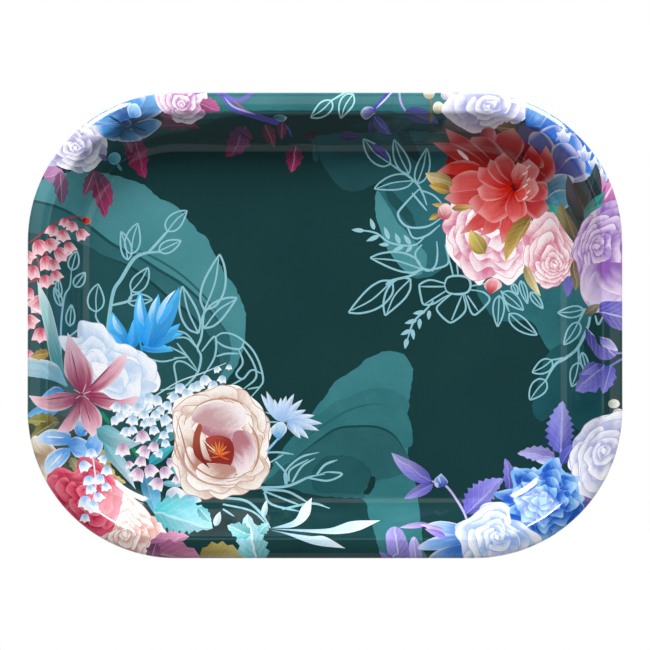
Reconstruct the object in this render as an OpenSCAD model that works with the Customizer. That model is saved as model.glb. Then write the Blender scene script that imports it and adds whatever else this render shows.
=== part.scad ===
// A small pressed tinplate tray with a printed floral face.
//
// One sheet is pressed to a flat floor, a cove, a sloping wall and a rounded rim, and its edge is
// curled under round a stiffening wire. The print and varnish are a thin skin on the sheet's face.
// Millimetres, +Z up. The origin is the middle of the underside, where the tray rests.

/* [Tray] */
// Length over the rim, left to right (X)
tray_l = 180; // [140:1:240]
// Width over the rim, front to back (Y)
tray_w = 141; // [115:1:200]
// Height from the surface it rests on to the top of the rim
tray_h = 15; // [12:0.5:20]
// Radius of the corners over the rim
corner_r = 45; // [36:1:56]

/* [Sheet] */
// Thickness of the tinplate sheet
sheet_t = 0.35; // [0.25:0.05:0.6]
// Thickness of the print and varnish on the sheet's face
coat_t = 0.06; // [0.04:0.01:0.1]

/* [Well] */
// Slope of the wall, in degrees from the floor
wall_slope = 55; // [45:1:70]
// Radius of the cove where the floor turns up into the wall
cove_r = 6; // [4:0.5:8]

/* [Rim] */
// Width of the rim, from its outer edge to where the wall starts down
rim_w = 6.7; // [5.5:0.1:8.5]
// Radius of the shoulder between the rim and the wall
shoulder_r = 1.8; // [1.2:0.1:2.4]
// How steeply the rim falls where it meets the curl, in degrees
rim_fall = 25; // [18:1:32]
// Diameter of the wire that stiffens the rim
wire_d = 1.6; // [1.2:0.1:2.2]
// Clearance between the wire and the sheet curled round it
wire_gap = 0.05; // [0.02:0.01:0.1]
// How far round the wire the sheet is curled, in degrees past the rim
curl_wrap = 280; // [240:5:290]

/* [Hidden] */
$fn = 96;

// Steps that each round stretch of the outline is drawn with
cove_steps = 8;
shoulder_steps = 6;
rim_steps = 5;
curl_steps = 16;

// The straight stretches between the corners, as half lengths
straight_l = tray_l / 2 - corner_r;
straight_w = tray_w / 2 - corner_r;

// The outline is drawn from the middle of a corner: X outwards, Y up. It follows the sheet's face,
// the side that carries the print, so the coat lies outside it and the sheet's thickness inside it.
edge_x = corner_r - coat_t;
top_z = tray_h - coat_t;
floor_z = sheet_t;
curl_r = wire_d / 2 + wire_gap + sheet_t;
wall_x = corner_r - rim_w;
crest_x = wall_x + shoulder_r * sin(wall_slope);
rim_r = curl_r + (edge_x - curl_r - crest_x) / sin(rim_fall);
shoulder_c = [crest_x, top_z - shoulder_r];
rim_c = [crest_x, top_z - rim_r];
curl_c = rim_c + (rim_r - curl_r) * [sin(rim_fall), cos(rim_fall)];
wall_rise = top_z - shoulder_r * (1 - cos(wall_slope)) - floor_z - cove_r * (1 - cos(wall_slope));
cove_c = [wall_x - wall_rise / tan(wall_slope) - cove_r * sin(wall_slope), floor_z + cove_r];

// Points along an arc round c, from angle a0 to a1. The first one is left out where it repeats.
function arc(c, r, a0, a1, steps, first = 1) =
    [for (i = [first:steps]) c + r * [cos(a0 + (a1 - a0) * i / steps), sin(a0 + (a1 - a0) * i / steps)]];

function reversed(points) = [for (i = [len(points) - 1:-1:0]) points[i]];

// The sheet's face from the corner's middle out to the end of the curl, moved out of the metal by lift
function face(lift) = concat(
    [[0, floor_z + lift]],
    arc(cove_c, cove_r - lift, 270, 270 + wall_slope, cove_steps, 0),
    arc(shoulder_c, shoulder_r + lift, 90 + wall_slope, 90, shoulder_steps, 0),
    arc(rim_c, rim_r + lift, 90, 90 - rim_fall, rim_steps),
    arc(curl_c, curl_r + lift, 90 - rim_fall, 90 - rim_fall - curl_wrap, curl_steps));

module layer(low, high) {
    polygon(concat(face(high), reversed(face(low))));
}

// Carries an outline round the tray: four straight sides and four corners
module around_tray() {
    for (side = [0:3]) {
        reach = side % 2 == 0 ? straight_l : straight_w;
        half = side % 2 == 0 ? straight_w : straight_l;
        rotate([0, 0, 90 * side]) translate([reach, half, 0]) {
            rotate([90, 0, 0]) linear_extrude(2 * half) children();
            rotate_extrude(angle = 90) children();
        }
    }
}

// The flat middle of a layer, between the middles of the four corners
module middle(low, high) {
    translate([-straight_l, -straight_w, floor_z + low])
        cube([2 * straight_l, 2 * straight_w, high - low]);
}

// The pressed sheet
module tray_shell() {
    color("silver") union() {
        middle(-sheet_t, 0);
        around_tray() layer(-sheet_t, 0);
    }
}

// The wire closed in the curl
module rim_wire() {
    color("dimgray") around_tray() translate(curl_c) circle(d = wire_d);
}

// The print and varnish, from the floor out to the end of the curl
module print_coat() {
    color("darkslategray") union() {
        middle(0, coat_t);
        around_tray() layer(0, coat_t);
    }
}

tray_shell();
rim_wire();
print_coat();
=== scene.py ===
import math

import bpy
import numpy as np
from mathutils.geometry import delaunay_2d_cdt
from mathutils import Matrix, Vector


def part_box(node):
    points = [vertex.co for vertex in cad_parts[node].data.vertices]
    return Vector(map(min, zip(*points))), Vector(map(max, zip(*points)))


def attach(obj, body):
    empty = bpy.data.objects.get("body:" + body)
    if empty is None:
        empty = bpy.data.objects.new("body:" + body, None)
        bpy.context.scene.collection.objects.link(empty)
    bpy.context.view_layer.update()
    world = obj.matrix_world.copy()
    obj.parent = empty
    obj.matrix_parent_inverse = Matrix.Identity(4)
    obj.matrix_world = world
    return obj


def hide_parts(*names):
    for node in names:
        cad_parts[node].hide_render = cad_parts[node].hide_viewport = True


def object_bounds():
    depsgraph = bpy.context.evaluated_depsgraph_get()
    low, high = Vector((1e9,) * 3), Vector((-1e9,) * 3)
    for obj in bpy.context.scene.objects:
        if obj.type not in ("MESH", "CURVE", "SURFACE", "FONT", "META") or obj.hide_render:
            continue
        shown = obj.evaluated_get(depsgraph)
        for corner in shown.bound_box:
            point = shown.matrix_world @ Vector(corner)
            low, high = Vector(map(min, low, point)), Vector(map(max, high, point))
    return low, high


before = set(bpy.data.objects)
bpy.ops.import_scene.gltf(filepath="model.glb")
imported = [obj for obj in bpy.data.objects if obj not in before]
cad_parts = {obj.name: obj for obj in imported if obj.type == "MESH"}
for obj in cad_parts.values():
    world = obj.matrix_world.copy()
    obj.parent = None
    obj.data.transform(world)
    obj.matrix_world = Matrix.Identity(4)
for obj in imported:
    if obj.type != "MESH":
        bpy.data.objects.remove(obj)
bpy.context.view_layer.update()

# ------------------------------------------------------------------------------------------
# The pressed sheet. One piece of tinplate is drawn to a flat floor, a cove, a sloping wall and
# a rounded rim, and its edge is curled under round a wire. The sizes are the CAD part's, in mm.
MM = 0.001
SHEET_T = 0.35
COAT_T = 0.06
CORNER_R = 45.0
WALL_SLOPE = math.radians(55)
COVE_R = 6.0
RIM_W = 6.7
SHOULDER_R = 1.8
RIM_FALL = math.radians(25)
WIRE_D = 1.6
WIRE_GAP = 0.05
CURL_WRAP = math.radians(280)
CORNER_STEPS = 30

far_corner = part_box("print_coat")[1] / MM
straight_l = far_corner.x - CORNER_R
straight_w = far_corner.y - CORNER_R
top_z = far_corner.z - COAT_T
curl_r = WIRE_D / 2 + WIRE_GAP + SHEET_T
curl_x = CORNER_R - COAT_T - curl_r
wall_x = CORNER_R - RIM_W
crest_x = wall_x + SHOULDER_R * math.sin(WALL_SLOPE)
rim_r = curl_r + (curl_x - crest_x) / math.sin(RIM_FALL)
curl_z = top_z - rim_r + (rim_r - curl_r) * math.cos(RIM_FALL)
foot_z = SHEET_T + COVE_R * (1 - math.cos(WALL_SLOPE))
wall_foot_x = wall_x - (top_z - SHOULDER_R * (1 - math.cos(WALL_SLOPE)) - foot_z) / math.tan(WALL_SLOPE)
cove_x = wall_foot_x - COVE_R * math.sin(WALL_SLOPE)
# Past this lean the curl is too steep to measure flat, and reach goes on along its arc
TURN_LEAN = math.radians(50)
turn_x = curl_x + curl_r * math.sin(TURN_LEAN)
edge_reach = turn_x + curl_r * (RIM_FALL + CURL_WRAP - TURN_LEAN)


def face_point(reach, lift):
    """A point of the sheet's face or of a layer lifted off it. Reach is its distance from the
    middle of the corner, flat across the tray and then along the curl. Returns how far out
    and how high it is, and how far the face leans outwards there."""
    if reach <= cove_x:
        return reach, SHEET_T + lift, 0.0
    if reach <= wall_foot_x:
        lean = -math.asin((reach - cove_x) / COVE_R)
        return (cove_x - (COVE_R - lift) * math.sin(lean),
                SHEET_T + COVE_R - (COVE_R - lift) * math.cos(lean), lean)
    if reach <= wall_x:
        height = foot_z + (reach - wall_foot_x) * math.tan(WALL_SLOPE)
        return reach - lift * math.sin(WALL_SLOPE), height + lift * math.cos(WALL_SLOPE), -WALL_SLOPE
    if reach <= crest_x:
        lean, middle_z, radius = -math.asin((crest_x - reach) / SHOULDER_R), top_z - SHOULDER_R, SHOULDER_R
        middle_x = crest_x
    elif reach <= crest_x + rim_r * math.sin(RIM_FALL):
        lean, middle_z, radius = math.asin((reach - crest_x) / rim_r), top_z - rim_r, rim_r
        middle_x = crest_x
    elif reach <= turn_x:
        lean, middle_x, middle_z, radius = math.asin((reach - curl_x) / curl_r), curl_x, curl_z, curl_r
    else:
        lean = TURN_LEAN + (reach - turn_x) / curl_r
        middle_x, middle_z, radius = curl_x, curl_z, curl_r
    return middle_x + (radius + lift) * math.sin(lean), middle_z + (radius + lift) * math.cos(lean), lean


def spread(first, last, steps):
    """Evenly spaced numbers from first to last"""
    return [first + (last - first) * i / steps for i in range(steps + 1)]


# Where the outline bends: the reach of each ring of points round the tray
bends = [cove_x + COVE_R * math.sin(a) for a in spread(0, WALL_SLOPE, 10)]
bends += spread(wall_foot_x, wall_x, 3)[1:]
bends += [crest_x - SHOULDER_R * math.sin(a) for a in spread(WALL_SLOPE, 0, 8)[1:]]
bends += [crest_x + rim_r * math.sin(a) for a in spread(0, RIM_FALL, 6)[1:]]
bends += [curl_x + curl_r * math.sin(a) for a in spread(RIM_FALL, TURN_LEAN, 2)[1:]]
bends += spread(turn_x, edge_reach, 16)[1:]


def linear(colour):
    """A colour written as sRGB hex, turned to the linear light that materials work in"""
    parts = [int(colour[i:i + 2], 16) / 255 for i in (0, 2, 4)]
    return [c / 12.92 if c <= 0.04045 else ((c + 0.055) / 1.055) ** 2.4 for c in parts] + [1.0]


def add(material, kind, settings=None, **links):
    """Adds a node to a material. Settings go to its properties, and links to its inputs by name or,
    as in_0, by number: each is a value, or the output socket that feeds it."""
    node = material.node_tree.nodes.new(kind)
    for name, value in (settings or {}).items():
        setattr(node, name, value)
    for name, value in links.items():
        socket = node.inputs[int(name[3:]) if name.startswith("in_") else name.replace("_", " ")]
        if isinstance(value, bpy.types.NodeSocket):
            material.node_tree.links.new(value, socket)
        else:
            socket.default_value = value
    return node


def new_material(name):
    material = bpy.data.materials.new(name)
    material.use_nodes = True
    material.node_tree.nodes.clear()
    return material


def finish_surface(material, **sockets):
    """Ends a material in one surface shader with these sockets set or linked"""
    shader = add(material, "ShaderNodeBsdfPrincipled", **sockets)
    add(material, "ShaderNodeOutputMaterial", Surface=shader.outputs["BSDF"])
    return material


def bright_tinplate():
    """Cold-rolled tinplate under clear lacquer: silvery, softly brushed along the rolling direction"""
    m = new_material("bright_tinplate")
    place = add(m, "ShaderNodeTexCoord").outputs["Object"]
    # Rolling lines run along the tray, about 0.4 mm apart and 40 mm long
    rolled = add(m, "ShaderNodeMapping", Vector=place, Scale=(25, 2500, 2500))
    lines = add(m, "ShaderNodeTexNoise", Vector=rolled.outputs[0], Scale=1.0, Detail=3.0)
    # Handling marks about 15 mm across dull the lacquer here and there
    marks = add(m, "ShaderNodeTexNoise", Vector=place, Scale=65.0, Detail=4.0)
    dull = add(m, "ShaderNodeMapRange", Value=marks.outputs["Fac"], From_Min=0.35, From_Max=0.75,
               To_Min=0.26, To_Max=0.42)
    tint = add(m, "ShaderNodeMix", {"data_type": "RGBA"}, Factor=lines.outputs["Fac"],
               in_6=linear("b9b6ae"), in_7=linear("d9d7d0"))
    bump = add(m, "ShaderNodeBump", Height=lines.outputs["Fac"], Strength=0.15, Distance=0.00003)
    return finish_surface(m, Base_Color=tint.outputs[2], Metallic=1.0,
                          Roughness=dull.outputs[0], Normal=bump.outputs[0])


def sweep_corner_and_side(centre, along):
    """Spins the selected section round a corner, then draws it out along the next side"""
    bpy.ops.mesh.spin(steps=CORNER_STEPS, angle=math.pi / 2, center=centre, axis=(0, 0, -1))
    bpy.ops.mesh.extrude_region_move(TRANSFORM_OT_translate={"value": along})


# The section is drawn out point by point at the near end of the right-hand side
bpy.ops.object.select_all(action="DESELECT")
bpy.ops.mesh.primitive_plane_add(size=MM, location=(0, 0, 0))
sheet = bpy.context.object
sheet.name = "pressed_sheet"
bpy.ops.object.mode_set(mode="EDIT")
bpy.ops.mesh.select_all(action="SELECT")
bpy.ops.mesh.merge(type="CENTER")
section = [face_point(r, 0) for r in bends] + [face_point(r, -SHEET_T) for r in reversed(bends)]
at_x, at_z = 0.0, 0.0
for i, (out, up, _) in enumerate(section):
    step = ((out - at_x) * MM, 0, (up - at_z) * MM)
    if i:
        bpy.ops.mesh.extrude_region_move(TRANSFORM_OT_translate={"value": step})
    else:
        bpy.ops.transform.translate(value=(straight_l * MM + step[0], -straight_w * MM, step[2]))
    at_x, at_z = out, up
bpy.ops.mesh.select_all(action="SELECT")
bpy.ops.mesh.extrude_region_move(TRANSFORM_OT_translate={"value": (0, 2 * straight_w * MM, 0)})
sweep_corner_and_side((straight_l * MM, straight_w * MM, 0), (-2 * straight_l * MM, 0, 0))
sweep_corner_and_side((-straight_l * MM, straight_w * MM, 0), (0, -2 * straight_w * MM, 0))
sweep_corner_and_side((-straight_l * MM, -straight_w * MM, 0), (2 * straight_l * MM, 0, 0))
bpy.ops.mesh.spin(steps=CORNER_STEPS, angle=math.pi / 2, center=(straight_l * MM, -straight_w * MM, 0),
                  axis=(0, 0, -1))
bpy.ops.mesh.select_all(action="SELECT")
bpy.ops.mesh.remove_doubles(threshold=MM / 1000)
# The two open loops left in the middle are the floor's upper and lower faces
bpy.ops.mesh.select_mode(type="EDGE")
for height in (SHEET_T, 0):
    bpy.ops.mesh.select_all(action="DESELECT")
    bpy.ops.mesh.select_non_manifold(extend=False, use_wire=False, use_boundary=True,
                                     use_multi_face=False, use_non_contiguous=False, use_verts=False)
    bpy.ops.object.mode_set(mode="OBJECT")
    for edge in sheet.data.edges:
        edge_z = sheet.data.vertices[edge.vertices[0]].co.z
        edge.select = edge.select and abs(edge_z - height * MM) < MM / 100
    bpy.ops.object.mode_set(mode="EDIT")
    bpy.ops.mesh.edge_face_add()
bpy.ops.mesh.select_all(action="SELECT")
bpy.ops.mesh.normals_make_consistent(inside=False)
bpy.ops.object.mode_set(mode="OBJECT")
bpy.ops.object.shade_smooth_by_angle(angle=math.radians(40))
sheet.data.materials.append(bright_tinplate())
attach(sheet, "root")
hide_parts("tray_shell")

# ------------------------------------------------------------------------------------------
# The stiffening wire. Drawn mild steel wire, 1.6 mm thick, is bent to the tray's outline and
# closed in the curl. It keeps its CAD shape, and can only be seen from below, where the curl ends.


def drawn_wire():
    """Drawn steel wire: grey, with fine die lines and a film of oil that dulls it"""
    m = new_material("drawn_steel_wire")
    place = add(m, "ShaderNodeTexCoord").outputs["Object"]
    # Oil stains about 3 mm across
    oil = add(m, "ShaderNodeTexNoise", Vector=place, Scale=350.0, Detail=3.0)
    tint = add(m, "ShaderNodeMix", {"data_type": "RGBA"}, Factor=oil.outputs["Fac"],
               in_6=linear("5c5b59"), in_7=linear("8d8c8a"))
    rough = add(m, "ShaderNodeMapRange", Value=oil.outputs["Fac"], To_Min=0.3, To_Max=0.5)
    return finish_surface(m, Base_Color=tint.outputs[2], Metallic=1.0, Roughness=rough.outputs[0])


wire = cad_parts["rim_wire"]
wire.data.materials.clear()
wire.data.materials.append(drawn_wire())

# ------------------------------------------------------------------------------------------
# The ground coat. The blank is roller-coated with deep green enamel from edge to edge, and every
# flower is printed over it. A print is one flat layer, so each shape takes the place of what it
# covers: all outlines are drawn here in mm, flat, and are cut and laid on the sheet at the end.
prints = []


def printed(piece, *shapes):
    """Lists the shapes of one printed piece. Later pieces cover earlier ones."""
    prints.append((piece, shapes))


# How fast a line may swing past a point, as a share of the way to the next one
MOST_SWING = 1.5


def held_back(x, y, way):
    """A direction at a point, shortened where it would make the line loop or bulge"""
    size = math.hypot(x, y)
    if size <= MOST_SWING * way:
        return x, y
    return x * MOST_SWING * way / size, y * MOST_SWING * way / size


def trace(points, closed=False, step=0.8):
    """A smooth line through points (x, y), as short steps in mm. A third value of 1 makes that point
    a sharp corner."""
    points = [p if len(p) == 3 else (*p, 0) for p in points]
    if closed:
        start = next((i for i, p in enumerate(points) if p[2]), 0)
        points = points[start:] + points[:start + 1]
    last = len(points) - 1
    path = []
    for i in range(last):
        (ax, ay, a_sharp), (bx, by, b_sharp) = points[i], points[i + 1]
        before = points[i - 1] if i else (points[last - 1] if closed else points[0])
        after = points[i + 2] if i + 2 <= last else (points[1] if closed else points[last])
        length = math.hypot(bx - ax, by - ay)
        # A sharp or open end has no bend of its own: it leaves straight for the next point
        ux, uy = (bx - ax, by - ay) if a_sharp or before[:2] == (ax, ay) else (
            (bx - before[0]) / 2, (by - before[1]) / 2)
        vx, vy = (bx - ax, by - ay) if b_sharp or after[:2] == (bx, by) else (
            (after[0] - ax) / 2, (after[1] - ay) / 2)
        (ux, uy), (vx, vy) = held_back(ux, uy, length), held_back(vx, vy, length)
        count = max(1, math.ceil(length / step))
        for k in range(count):
            t = k / count
            h = (2 * t**3 - 3 * t**2 + 1, t**3 - 2 * t**2 + t, 3 * t**2 - 2 * t**3, t**3 - t**2)
            path.append((h[0] * ax + h[1] * ux + h[2] * bx + h[3] * vx,
                         h[0] * ay + h[1] * uy + h[2] * by + h[3] * vy))
    if not closed:
        path.append(points[last][:2])
    return path


def shape(kind, loop, base, tip, measure, edge=0.0):
    """One printed shape: its closed outline, its colours at the base and at the tip, how light its
    edge is, and the function that measures points along it (0 to 1) and across it (-1 to 1)"""
    return {"kind": kind, "loop": loop, "base": linear(base), "tip": linear(tip),
            "edge": edge, "measure": measure}


def flat_measure(places):
    """The measure of an area whose colour runs in no direction"""
    return np.zeros((len(places), 2))


def patch(kind, base, tip, *points):
    """A flat area, such as the ground or a wash, inside a smooth closed outline"""
    return shape(kind, trace(points, closed=True, step=1.5), base, tip, flat_measure)


def out_from(x, y, bearing, reach):
    """The point that lies this far from x, y, at a bearing in degrees"""
    return x + reach * math.cos(math.radians(bearing)), y + reach * math.sin(math.radians(bearing))


def round_tray(reach):
    """The points of one ring round the tray, flat"""
    ring = []
    for quarter, (x, y) in enumerate(((1, 1), (-1, 1), (-1, -1), (1, -1))):
        for a in spread(90 * quarter, 90 * quarter + 90, CORNER_STEPS):
            ring.append(out_from(x * straight_l, y * straight_w, a, reach))
    return ring


printed("ground_enamel", shape("ground", round_tray(edge_reach), "163638", "1b4041", flat_measure))

# ------------------------------------------------------------------------------------------
# The washes. Loose teal pools are printed first, each a fan of two or three tones with a ragged
# outer edge and thin dark tide lines, as ink wash dries. They lie under all the flowers.


def jitter(number):
    """A fixed unevenness between 0 and 1, different for each number"""
    return (math.sin(number * 12.9898) * 43758.5453) % 1.0


# How far a wash's edge wanders, in mm
RAGGED = 0.45


def wash(base, tip, *points):
    """A pool of thin ink with a ragged edge, from its paler to its fuller colour"""
    pool = patch("wash", base, tip, *points)
    pool["loop"] = [(x + RAGGED * (jitter(x + y) - 0.5), y + RAGGED * (jitter(x - y) - 0.5))
                    for x, y in pool["loop"]]
    return pool


# A stroke comes to its full width over this share of its length at each end
SWELL = 1 / 4


def stroke(base, tip, width, *points, ends=(0.6, 0.3), kind="line"):
    """A brush line through points, as wide as width, with its two ends these shares of that wide"""
    path = trace(points, step=0.7)
    spans = [math.hypot(b[0] - a[0], b[1] - a[1]) for a, b in zip(path, path[1:])]
    total = sum(spans)
    sides, gone = [], 0.0
    for i, (x, y) in enumerate(path):
        (ax, ay), (bx, by) = path[max(i - 1, 0)], path[min(i + 1, len(path) - 1)]
        size = math.hypot(bx - ax, by - ay) or 1.0
        t = gone / total
        grow = min(1.0, ends[0] + (1 - ends[0]) * t / SWELL, ends[1] + (1 - ends[1]) * (1 - t) / SWELL)
        nx, ny = -(by - ay) / size * width / 2 * grow, (bx - ax) / size * width / 2 * grow
        sides.append(((x + nx, y + ny), (x - nx, y - ny)))
        gone += spans[i] if i < len(spans) else 0.0
    outline = [right for _, right in sides] + [left for left, _ in reversed(sides)]
    middle = np.array(path)

    def measure(places):
        gap = np.hypot(*(np.asarray(places)[:, None] - middle[None]).transpose(2, 0, 1))
        nearest = gap.argmin(axis=1)
        towards = middle[np.minimum(nearest + 1, len(path) - 1)] - middle[np.maximum(nearest - 1, 0)]
        offset = np.asarray(places) - middle[nearest]
        side = np.sign(towards[:, 0] * offset[:, 1] - towards[:, 1] * offset[:, 0])
        across = side * gap[np.arange(len(gap)), nearest] / (width / 2)
        return np.stack([nearest / (len(path) - 1), np.clip(across, -1, 1)], axis=1)

    return shape(kind, outline, base, tip, measure)


printed("wash_left",
        wash("3f7f86", "4f9097", (-96, 43), (-86.5, 44), (-74, 47), (-65, 46.3), (-60, 45), (-55, 43),
             (-50, 39), (-45, 36.5), (-42, 33), (-38, 28.5), (-36, 27), (-34, 23), (-31, 17), (-28, 13.5),
             (-26.5, 10.5), (-24.3, 5), (-24, 1.5), (-24.3, -4), (-26, -10), (-31, -18), (-45, -34),
             (-96, -40)),
        wash("2b5f65", "366d73", (-96, 38), (-87.7, 37.6), (-78.9, 35.2), (-72.5, 31.3), (-64.6, 25.3),
             (-56.6, 21.3), (-50.3, 17.3), (-43.9, 13.4), (-37.5, 7.8), (-32, 1.4), (-28.8, -4.1),
             (-30, -12), (-48, -30), (-96, -36)),
        wash("1f4a4e", "28575b", (-96, 27.8), (-88.5, 27.7), (-80.5, 27.3), (-73.3, 24.9), (-66.2, 21.3),
             (-59, 18.1), (-52.7, 13.4), (-47.1, 8.6), (-41, 3.8), (-35, -3), (-32, -10), (-33, -20),
             (-42, -26), (-52, -34), (-66, -52), (-96, -50)),
        stroke("1f4e53", "1f4e53", 0.9, (-92, 38), (-87.7, 37.5), (-78.9, 35), (-72.5, 31.1),
               (-64.6, 25.1), (-56.6, 21.1), (-50.3, 17.1), (-43.9, 13.2), (-37.5, 7.6), (-32, 1.2),
               (-29, -4), kind="wash", ends=(0.8, 0.1)),
        stroke("183f42", "183f42", 0.8, (-66.2, 21.2), (-59, 18), (-52.7, 13.3), (-47.1, 8.5), (-41, 3.7),
               (-35, -3.1), kind="wash", ends=(0.1, 0.1)),
        stroke("2c6167", "2c6167", 0.7, (-60, 24.5), (-52, 21), (-44, 16), (-37, 9.5), (-31.5, 2.6),
               kind="wash", ends=(0.1, 0.1)))
printed("wash_top",
        wash("1f484c", "2a5c62", (-4, 58), (-3, 54), (-1, 50), (1.5, 46), (4.5, 42.5), (8, 41.2),
             (12, 42), (15, 43.4), (17, 43.2), (24, 42), (32, 38), (42, 46), (42, 58)),
        stroke("18393d", "1c4246", 3.4, (22.5, 62), (25, 56), (29, 50), kind="wash", ends=(0.3, 0.3)),
        wash("2a626a", "32707a", (17, 42.5), (24, 44), (36, 44), (40, 30), (36, 18), (27, 15), (22, 24),
             (18, 32)),
        wash("46868c", "52949a", (15.7, 41.5), (18, 38.5), (22, 32), (27, 26), (31, 22), (30, 17),
             (26, 15.5), (20, 22), (17, 29), (15.2, 36)),
        stroke("1f4a4e", "265a60", 3, (18.4, 42.5), (21, 38.5), (24.5, 34.5), (27.5, 30), kind="wash",
               ends=(0.3, 0.2)))
# The lighter teal band along the top rim is partly print and partly painted highlight, for the light that
# the rim catches from the back softboxes. The darker strip along its inner edge fades that painted highlight
# in where the shoulder turns away from the light.
printed("rim_wash_and_painted_highlight",
        wash("1e4c50", "265a60", (-46, 63.4), (-20, 63.6), (10, 63.6), (42, 63.4), (46, 76), (-50, 76)),
        wash("2c6468", "387a80", (-46, 64.8), (-20, 64.9), (10, 64.9), (42, 64.8), (46, 76), (-50, 76)))
printed("wash_fan",
        wash("31737a", "428489", (-24, -52), (-18, -45), (-10, -36), (-4.2, -26.5), (-0.6, -22), (3, -17),
             (8.8, -13), (13.8, -9.2), (19.6, -7.3), (23.9, -8.5), (26.4, -12), (26.7, -15),
             (25.7, -21.4), (25, -26.5), (26.4, -31.5), (25.2, -38), (27, -46), (28.2, -53), (29, -62.5),
             (29.5, -66), (29, -78), (-24, -78)),
        wash("2c6a70", "3a7a7f", (-16, -42), (-7.8, -31.5), (-0.6, -25.7), (6.6, -21.4), (16, -18.5),
             (22.4, -20), (25.5, -23), (25, -26.5), (26.2, -31.5), (25, -37), (10, -34), (-8, -40)),
        stroke("28626a", "28626a", 0.6, (-7.8, -35.1), (-0.6, -30.1), (6.6, -25.7), (13.8, -23.6),
               (19, -23.9), kind="wash", ends=(0.1, 0.1)),
        wash("27595e", "306a6e", (-20, -50), (-7.8, -38.7), (-2, -34.4), (3.7, -30.8), (10.2, -30.1),
             (16, -30.4), (21, -32.9), (24.8, -38.5), (26.5, -46), (25, -56), (10, -52), (-8, -52)),
        stroke("1b474c", "1b474c", 0.7, (-7.8, -38.8), (-2, -34.6), (3.7, -31), (10.2, -30.3),
               (16, -30.6), (21, -33.1), (24.8, -38.7), kind="wash", ends=(0.1, 0.1)),
        wash("1e4e53", "275c61", (-4, -44), (-2, -41.6), (0.1, -39.5), (6.6, -39.2), (11.6, -41.4),
             (14.4, -44.4), (13, -48), (10, -51), (4, -50.5), (-3, -50)),
        wash("2c6b70", "397a7f", (14, -47.5), (20, -46), (26, -45), (28.4, -53), (29.4, -66), (29, -78),
             (17, -78), (15.5, -66), (12.5, -56), (12, -51.5)),
        wash("153638", "1c4446", (-26, -50), (-16, -48), (-4, -51), (6, -52), (11.6, -52.6), (13.5, -58),
             (16, -67), (17, -78), (-26, -78)),
        wash("142f30", "18393a", (14.2, -45.2), (15.4, -45.9), (15.1, -48.8), (13.1, -50.9),
             (11.6, -50.9), (13.1, -48.1)))
printed("wash_right",
        wash("265c62", "33737a", (46, 13), (55, 16), (73, 18), (80, 14), (81, 4), (79, -3), (77, -6),
             (70, -8), (66, -4), (63, 1.5), (55, 1.5), (50, 4)),
        wash("1a4a50", "22595f", (68, -8), (77, -4), (80, -12), (84, -22), (82, -31), (76, -31),
             (72, -24), (66, -29), (63, -25), (64.5, -18)))

# ------------------------------------------------------------------------------------------
# The line drawings. Leaves and open flowers are printed in pale aqua outline, half a millimetre
# wide, half over the washes and half over the bare ground.


def axis_measure(outline, base):
    """Measures a petal or leaf along the line from its base to its farthest point, and across it
    by its own width there, so that -1 and 1 are its two edges"""
    rim = np.array(outline)
    start = np.array(base[:2])
    far = rim[np.argmax(np.hypot(*(rim - start).T))]
    length = np.hypot(*(far - start))
    along = (far - start) / length

    def split(places):
        offset = np.asarray(places) - start
        return offset @ along / length, offset @ np.array([-along[1], along[0]])

    # How wide its left and its right half are at each place from base to tip, and never nothing
    u_rim, v_rim = split(rim)
    stations = np.linspace(0, 1, 17)
    left, right = ([max([v for u, v in zip(u_rim, v_rim * side) if abs(u - s) < 0.07] + [length / 50])
                    for s in stations] for side in (1, -1))

    def measure(places):
        u, v = split(places)
        half = np.where(v > 0, np.interp(u, stations, left), np.interp(u, stations, right))
        return np.stack([u, np.clip(v / half, -1, 1)], axis=1)

    return measure


def petal(base, tip, *points, kind="petal", edge=0.5):
    """A petal from its outline, which starts at its base, with its colours at the base and tip"""
    outline = trace(((*points[0][:2], 1), *points[1:]), True)
    return shape(kind, outline, base, tip, axis_measure(outline, points[0]), edge)


def leaf_outline(start, end, width, bend=0.0, teeth=0):
    """The outline of a leaf from start to end: width across, bend sideways as a share of its length,
    and the number of teeth down each side"""
    (x0, y0), (x1, y1) = start, end
    dx, dy = x1 - x0, y1 - y0
    sides = [[], []]
    steps = max(8, teeth * 2)
    for i in range(steps + 1):
        t = i / steps
        bow = 4 * bend * t * (1 - t)
        cx, cy = x0 + dx * t - dy * bow, y0 + dy * t + dx * bow
        tx, ty = dx - dy * 4 * bend * (1 - 2 * t), dy + dx * 4 * bend * (1 - 2 * t)
        size = math.hypot(tx, ty)
        # Widest a little before its middle, and full at the shoulders. Teeth step out and in by turns.
        half = width / 2 * math.sin(math.pi * t ** 0.75) ** 0.8 if 0 < t < 1 else 0.0
        if teeth and i % 2 and i < steps:
            half *= 1.25
        elif teeth:
            half *= 0.92
        for k, side in enumerate(sides):
            sign = 1 - 2 * k
            side.append((cx - ty / size * half * sign, cy + tx / size * half * sign, 1 if teeth else 0))
    return [(x0, y0, 1), *sides[0][1:-1], (x1, y1, 1), *reversed(sides[1][1:-1])]


def leaf(base, tip, start, end, width, bend=0.0, teeth=0, edge=0.25):
    """A painted leaf from start to end, with its colours there"""
    outline = trace(leaf_outline(start, end, width, bend, teeth), True)
    return shape("leaf", outline, base, tip, axis_measure(outline, start), edge)


AQUA = "8fc3cf"


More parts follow.
